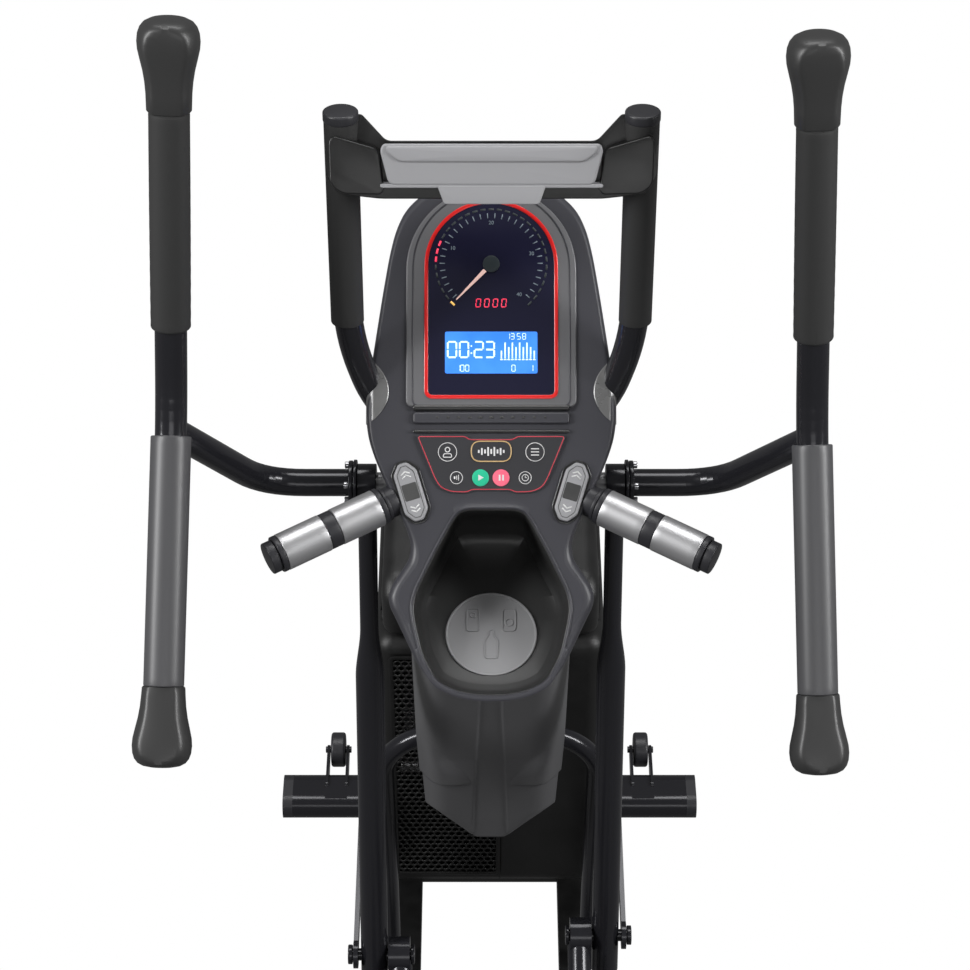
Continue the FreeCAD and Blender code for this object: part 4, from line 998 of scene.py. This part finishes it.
            body = f"{side.label}_rocker_body"
            key = slab(even_loop(blunt, 200), -2.8, 4.6, 2.2, crown=0.4)
            piece(f"{side.label}_rocker_key", key.moved(place), ROCKER, body,
                  [f"{side.label}_resistance_rocker"])
            middle = rounded_loop(rectangle(-8.6, -9.5, 8.6, 9.5), 2.0)
            dip = slab(even_loop(middle, 120), 3.0, 5.25, 0.4)
            piece(f"{side.label}_rocker_middle", dip.moved(place), ROCKER_DARK, body)
            inner = ribbon(even_loop(inset(even_loop(blunt, 200), 4.0), 160), 0.8, 4.2, 4.95)
            piece(f"{side.label}_rocker_line", inner.moved(place), ROCKER_DARK, body)
            marks = []
            for end in (-1, 1):
                for k in (0, 1):
                    y = end * (21.0 + 4.2 * k - 2)
                    marks += [(x, y - end * 1.2, 6.4, 1.5, -end * 0.55 * np.sign(x)) for x in (-2.4, 2.4)]
            piece(f"{side.label}_rocker_chevrons", bars(marks, 5.2, 4.4).moved(place), WHITE_INK_GLOW, body)
            trench = ribbon(even_loop(inset(even_loop(blunt, 200), -1.8), 200), 2.2, -6, 0.2)
            piece(f"{side.label}_rocker_rim", trench.moved(place), CONSOLE_GLOSS, "frame")

    def pulse_bars(self) -> None:
        """The heart-rate bars: black cores, two bright plates each, a black band and a ringed end."""
        a, b = np.array(self.pulse_from), np.array(self.pulse_to)
        cores, plates, trims = [], [], []
        for side in Side:
            start, end = a * [side.value, 1, 1], b * [side.value, 1, 1]
            cores.append(tube(straight(start, end, 4, 152), 18.0, 48))
            for first, last in ((26.3, 78.4), (93.4, 146.3)):
                plates.append(tube(straight(start, end, first, last), 21.4, 72, 0.8))
            for first, last, radius in ((15, 19.5, 19.6), (20, 26, 21.2), (78.8, 93, 21.0),
                                        (146.6, 152.9, 21.2), (153.2, 163.9, 18.4)):
                trims.append(tube(straight(start, end, first, last), radius, 64, 1.2))
        piece("pulse_cores", join(cores), BLACK_PLASTIC, "frame", ["pulse_grip_bars"])
        piece("pulse_sleeves", join(plates), STEEL, "frame", ["pulse_plates"])
        piece("pulse_rings", join(trims), BLACK_PLASTIC, "frame", ["pulse_trims"])


# ------------------------------------------------------------------ covers

@dataclass
class Covers:
    """The mast cover and the fan housing with its honeycomb."""

    half: float = 149.5
    split: float = 14.0
    lower: tuple = ((258, 196), (305, 658), (572, 658), (608, 560), (604, 380), (560, 196))
    cap: tuple = ((305.4, 662), (313, 735), (336, 752), (470, 746), (545, 710), (571, 662))
    window_x: tuple = (-130.0, 11.0)
    window_z: tuple = (222.0, 636.0)
    pitch: float = 9.8

    def build(self) -> None:
        """Makes the covers."""
        self.mast_cover()
        self.housing()
        self.honeycomb()

    def mast_cover(self) -> None:
        """A shield behind the mast. Each level is half a super-ellipse with a raised band down its middle."""
        z = np.arange(417.0, 937.0, 3.0)
        half = np.interp(z, [417, 481, 546, 549, 616, 712, 975], [26, 85, 88, 91.5, 94.5, 96, 100])
        rear = np.interp(z, [417, 462, 600, 700, 800, 975], [174, 169, 159, 141, 121, 90])
        band = np.interp(z, [417, 712, 935], [24, 14.5, 10])
        level = z[:, None]
        u = np.linspace(-1, 1, 181)[None]
        x = half[:, None] * u
        front = 185.5
        bow = np.abs(u) ** 7
        flat = 1 - bow
        edge = 1 / (1 + np.exp(-(np.abs(x) - band[:, None]) / 0.7))
        y = rear[:, None] + 2.4 - (2.4 * edge + 5.0 * u ** 2) * flat * 0.9 + 5.0 * u ** 2
        reach = np.clip((np.abs(x) - 25) / 66, 0, 1)
        crest = 551 + 103 * reach ** 0.8
        drop = np.clip((crest - level) / (crest - 546.0 + 1e-6), 0, 1)
        flare = 9.0 * reach ** 0.6 * np.sin(math.pi / 2 * np.clip(drop / 0.55, 0, 1)) ** 1.5
        y = y - flare * (level > 547) * flat
        y = y + (front - y) * bow
        points = np.stack([x, y, np.broadcast_to(z[:, None], x.shape).astype(float)], -1)
        piece("mast_shield", grid(points, ring=False, caps=False), COVER, "frame", ["mast_cover"], wall=3.0,
              sharp=70)

    def shell(self, outline: Sequence, x_open: float, x_closed: float, soft: float = 22.0) -> Mesh:
        """Half of a casing: the outline runs across from its open edge and rounds into a closed cheek."""
        loop = even_loop(rounded_loop(outline, 26, 10), 360)
        sign = 1 if x_closed > x_open else -1
        across = np.arange(0, abs(x_closed - x_open) - soft, 3.0)
        stations = [(0.0, x_open + sign * v) for v in across]
        for a in np.linspace(0, math.pi / 2, 9):
            stations.append((soft * (1 - math.cos(a)), x_closed - sign * soft * (1 - math.sin(a))))
        rows = [np.column_stack([np.full(len(loop), x), inset(loop, d)]) for d, x in stations]
        centre = loop.mean(0)
        for k in (0.85, 0.6, 0.35, 0.1):
            ring = centre + (inset(loop, soft) - centre) * k
            rows.append(np.column_stack([np.full(len(loop), x_closed), ring]))
        surface = grid(np.array(rows), caps=False)
        return fanned(surface, [x_closed, *centre], len(loop))

    def housing(self) -> None:
        """The two lower sides and the top cap, the left side open where the honeycomb sits."""
        left = self.shell(self.lower, self.split - 0.3, -self.half)
        centres = np.array([left.points[f].mean(0) for f in left.faces])
        rear = centres[:, 1] < 258 + (centres[:, 2] - 196) * 47 / 462 + 6
        inside = ((centres[:, 0] > self.window_x[0] + 1) & (centres[:, 0] < self.window_x[1] - 1)
                  & (centres[:, 2] > self.window_z[0]) & (centres[:, 2] < self.window_z[1]) & rear)
        left.faces = [f for f, gone in zip(left.faces, inside) if not gone]
        piece("left_casing", left, COVER_DARK, "frame", ["housing_left"], wall=3.0, sharp=50)
        right = self.shell(self.lower, self.split + 0.3, self.half)
        piece("right_casing", right, COVER_DARK, "frame", ["housing_right"], wall=3.0, sharp=50)
        for name, far in (("left", -139.5), ("right", 139.5)):
            nodes = ["housing_cap"] if name == "left" else []
            top = self.shell(self.cap, 0.0, far, 18.0)
            piece(f"{name}_casing_cap", top, COVER_DARK, "frame", nodes, wall=3.0, sharp=50)

    def honeycomb(self) -> None:
        """A hexagonal lattice: each cell is the ring between a large and a small hexagon."""
        low = np.array([self.window_x[0], self.window_z[0] - 196])
        high = np.array([self.window_x[1], self.window_z[1] - 196])
        row_step = self.pitch * math.sqrt(3) / 2
        rows, columns = int((high[1] - low[1]) / row_step), int((high[0] - low[0]) / self.pitch)
        r, c = np.meshgrid(np.arange(rows), np.arange(columns), indexing="ij")
        x = (low[0] + self.pitch * (c + 0.4 + 0.5 * (r % 2))).ravel()
        y = (low[1] + row_step * (r + 0.5)).ravel()
        angle = np.radians(60 * np.arange(6) + 30)
        big = self.pitch / math.sqrt(3)
        corner = np.stack([np.cos(angle), np.sin(angle)], -1)
        outer = np.stack([x, y], -1)[:, None] + corner[None] * big
        inner = np.stack([x, y], -1)[:, None] + corner[None] * big * 0.76
        flat = np.concatenate([outer, inner], 1).reshape(-1, 2)
        one = np.array([[k, (k + 1) % 6, 6 + (k + 1) % 6, 6 + k] for k in range(6)])
        faces = (one[None] + 12 * np.arange(len(x))[:, None, None]).reshape(-1, 4)
        lean = math.atan2(462, 47)
        points = np.column_stack([flat, np.zeros(len(flat))])
        placed = tilt(points, lean) + np.array([0.0, 259.5, 196.0])
        piece("honeycomb", Mesh(placed, faces.tolist()), COVER_DARK, "frame", ["rear_grille"], wall=2.4)
        frame_loop = soft_loop([tuple(low), (high[0], low[1]), tuple(high), (low[0], high[1])], 6, 400)
        rim = ribbon(frame_loop, 6.0, -2.0, 1.5)
        rim_points = tilt(rim.points, lean) + np.array([0.0, 258.0, 196.0])
        piece("honeycomb_rim", Mesh(rim_points, rim.faces), COVER_DARK, "frame")


# ------------------------------------------------------------------ base and legs

@dataclass
class Base:
    """The feet, the hoop, and the finishes of the plain steel pieces."""

    def build(self) -> None:
        """Makes the hoop and dresses the carried nodes."""
        x, y, top = 139.0, 212.0, 588.0
        path = [(-x, y, 70), (-x, y, 541), (-x + 45, y, top), (x - 45, y, top), (x, y, 541), (x, y, 70)]
        piece("hoop", tube(smooth_path(path, 40, 6), 12.9, 40), GLOSS_BLACK, "frame", ["arch_brace"])
        dressed = {
            GLOSS_BLACK: ("front_stabilizer", "rear_stabilizer", "mast", "left_leg", "right_leg",
                          "left_drive_rod", "right_drive_rod"),
            CAST_BLACK: ("base_rails", "roller_tracks", "drive_frame", "crank_discs"),
            BLACK_PLASTIC: ("stabilizer_caps", "levelling_feet", "power_inlet", "left_pedal", "right_pedal",
                            "left_roller", "right_roller", "left_transport_wheel", "right_transport_wheel"),
            BARE: ("arm_pivot_shaft", "crankshaft", "drive_bearings"),
            ALUMINIUM: ("crank_pulley", "fan_rotor"),
            BELT: ("drive_belt",),
        }
        for finish, names in dressed.items():
            for name in names:
                mesh = FRAME["nodes"][name].data
                mesh.materials.clear()
                mesh.materials.append(finish.material())
                LOG.info("%s dressed in %s", name, finish.name)


# ------------------------------------------------------------------ studio

@dataclass
class Studio:
    """The floor, the lights and the camera."""

    eye: tuple = (-7.0, -1811.0, 3065.0)
    pitch: float = 45.0
    focal: float = 91.7
    lamps: tuple = (("left_strip", (-3.0, -0.9, 2.9), 120.0, (0.55, 2.6)),
                    ("right_strip", (3.0, -0.7, 2.7), 105.0, (0.55, 2.6)),
                    ("overhead", (0.0, 1.8, 4.6), 75.0, (2.6, 1.4)),
                    ("rider_side", (0.3, -3.4, 3.0), 16.0, (2.2, 1.0)))

    def build(self) -> None:
        """Makes the floor, the surroundings, four soft lights and the camera."""
        scene = bpy.context.scene
        scene.view_settings.view_transform = "Standard"
        self.floor()
        self.surroundings()
        for name, place, power, sizes in self.lamps:
            data = bpy.data.lights.new(name, "AREA")
            data.shape, data.energy = "RECTANGLE", power
            data.size, data.size_y = sizes
            lamp = bpy.data.objects.new(name, data)
            lamp.location = place
            lamp.rotation_euler = self.aim(np.array([0.0, 0.1, 1.0]) - np.array(place))
            scene.collection.objects.link(lamp)
        lens = bpy.data.cameras.new("camera")
        lens.lens, lens.sensor_width = self.focal, 36.0
        lens.clip_end = 100.0
        camera = bpy.data.objects.new("camera", lens)
        camera.location = (np.array(self.eye) + SHIFT) * MM
        camera.rotation_euler = (math.radians(90.0 - self.pitch), 0.0, 0.0)
        scene.collection.objects.link(camera)
        scene.camera = camera

    def floor(self) -> None:
        """A white floor that only the camera sees."""
        data = bpy.data.meshes.new("floor")
        data.from_pydata([(-30, -30, 0), (30, -30, 0), (30, 30, 0), (-30, 30, 0)], [], [(0, 1, 2, 3)])
        white = bpy.data.materials.new("white_floor")
        white.use_nodes = True
        shader = white.node_tree.nodes["Principled BSDF"]
        shader.inputs["Base Color"].default_value = (0, 0, 0, 1)
        shader.inputs["Specular IOR Level"].default_value = 0.0
        shader.inputs["Emission Color"].default_value = (1, 1, 1, 1)
        shader.inputs["Emission Strength"].default_value = 1.0
        data.materials.append(white)
        plane = bpy.data.objects.new("floor", data)
        plane.visible_diffuse = plane.visible_glossy = False
        bpy.context.scene.collection.objects.link(plane)

    def surroundings(self) -> None:
        """A world that is white to the eye and dim to the surfaces."""
        world = bpy.data.worlds.new("studio")
        world.use_nodes = True
        nodes, links = world.node_tree.nodes, world.node_tree.links
        back = nodes["Background"]
        back.inputs["Color"].default_value = (1, 1, 1, 1)
        path = nodes.new("ShaderNodeLightPath")
        level = nodes.new("ShaderNodeMapRange")
        level.inputs["To Min"].default_value, level.inputs["To Max"].default_value = 0.16, 1.0
        links.new(path.outputs["Is Camera Ray"], level.inputs["Value"])
        links.new(level.outputs["Result"], back.inputs["Strength"])
        bpy.context.scene.world = world

    @staticmethod
    def aim(way: np.ndarray) -> tuple:
        """The turn that points a light along a direction."""
        flat = math.hypot(way[0], way[1])
        return (math.pi / 2 + math.atan2(way[2], flat), 0.0, math.atan2(way[1], way[0]) - math.pi / 2)


def main() -> None:
    """Builds every sub-assembly in order."""
    logging.basicConfig(level=logging.INFO, format="%(message)s")
    Studio().build()
    Base().build()
    FixedHandlebar().build()
    Console().build()
    Covers().build()
    for side in Side:
        SwingArm(side).build()


if __name__ == "__main__":
    main()
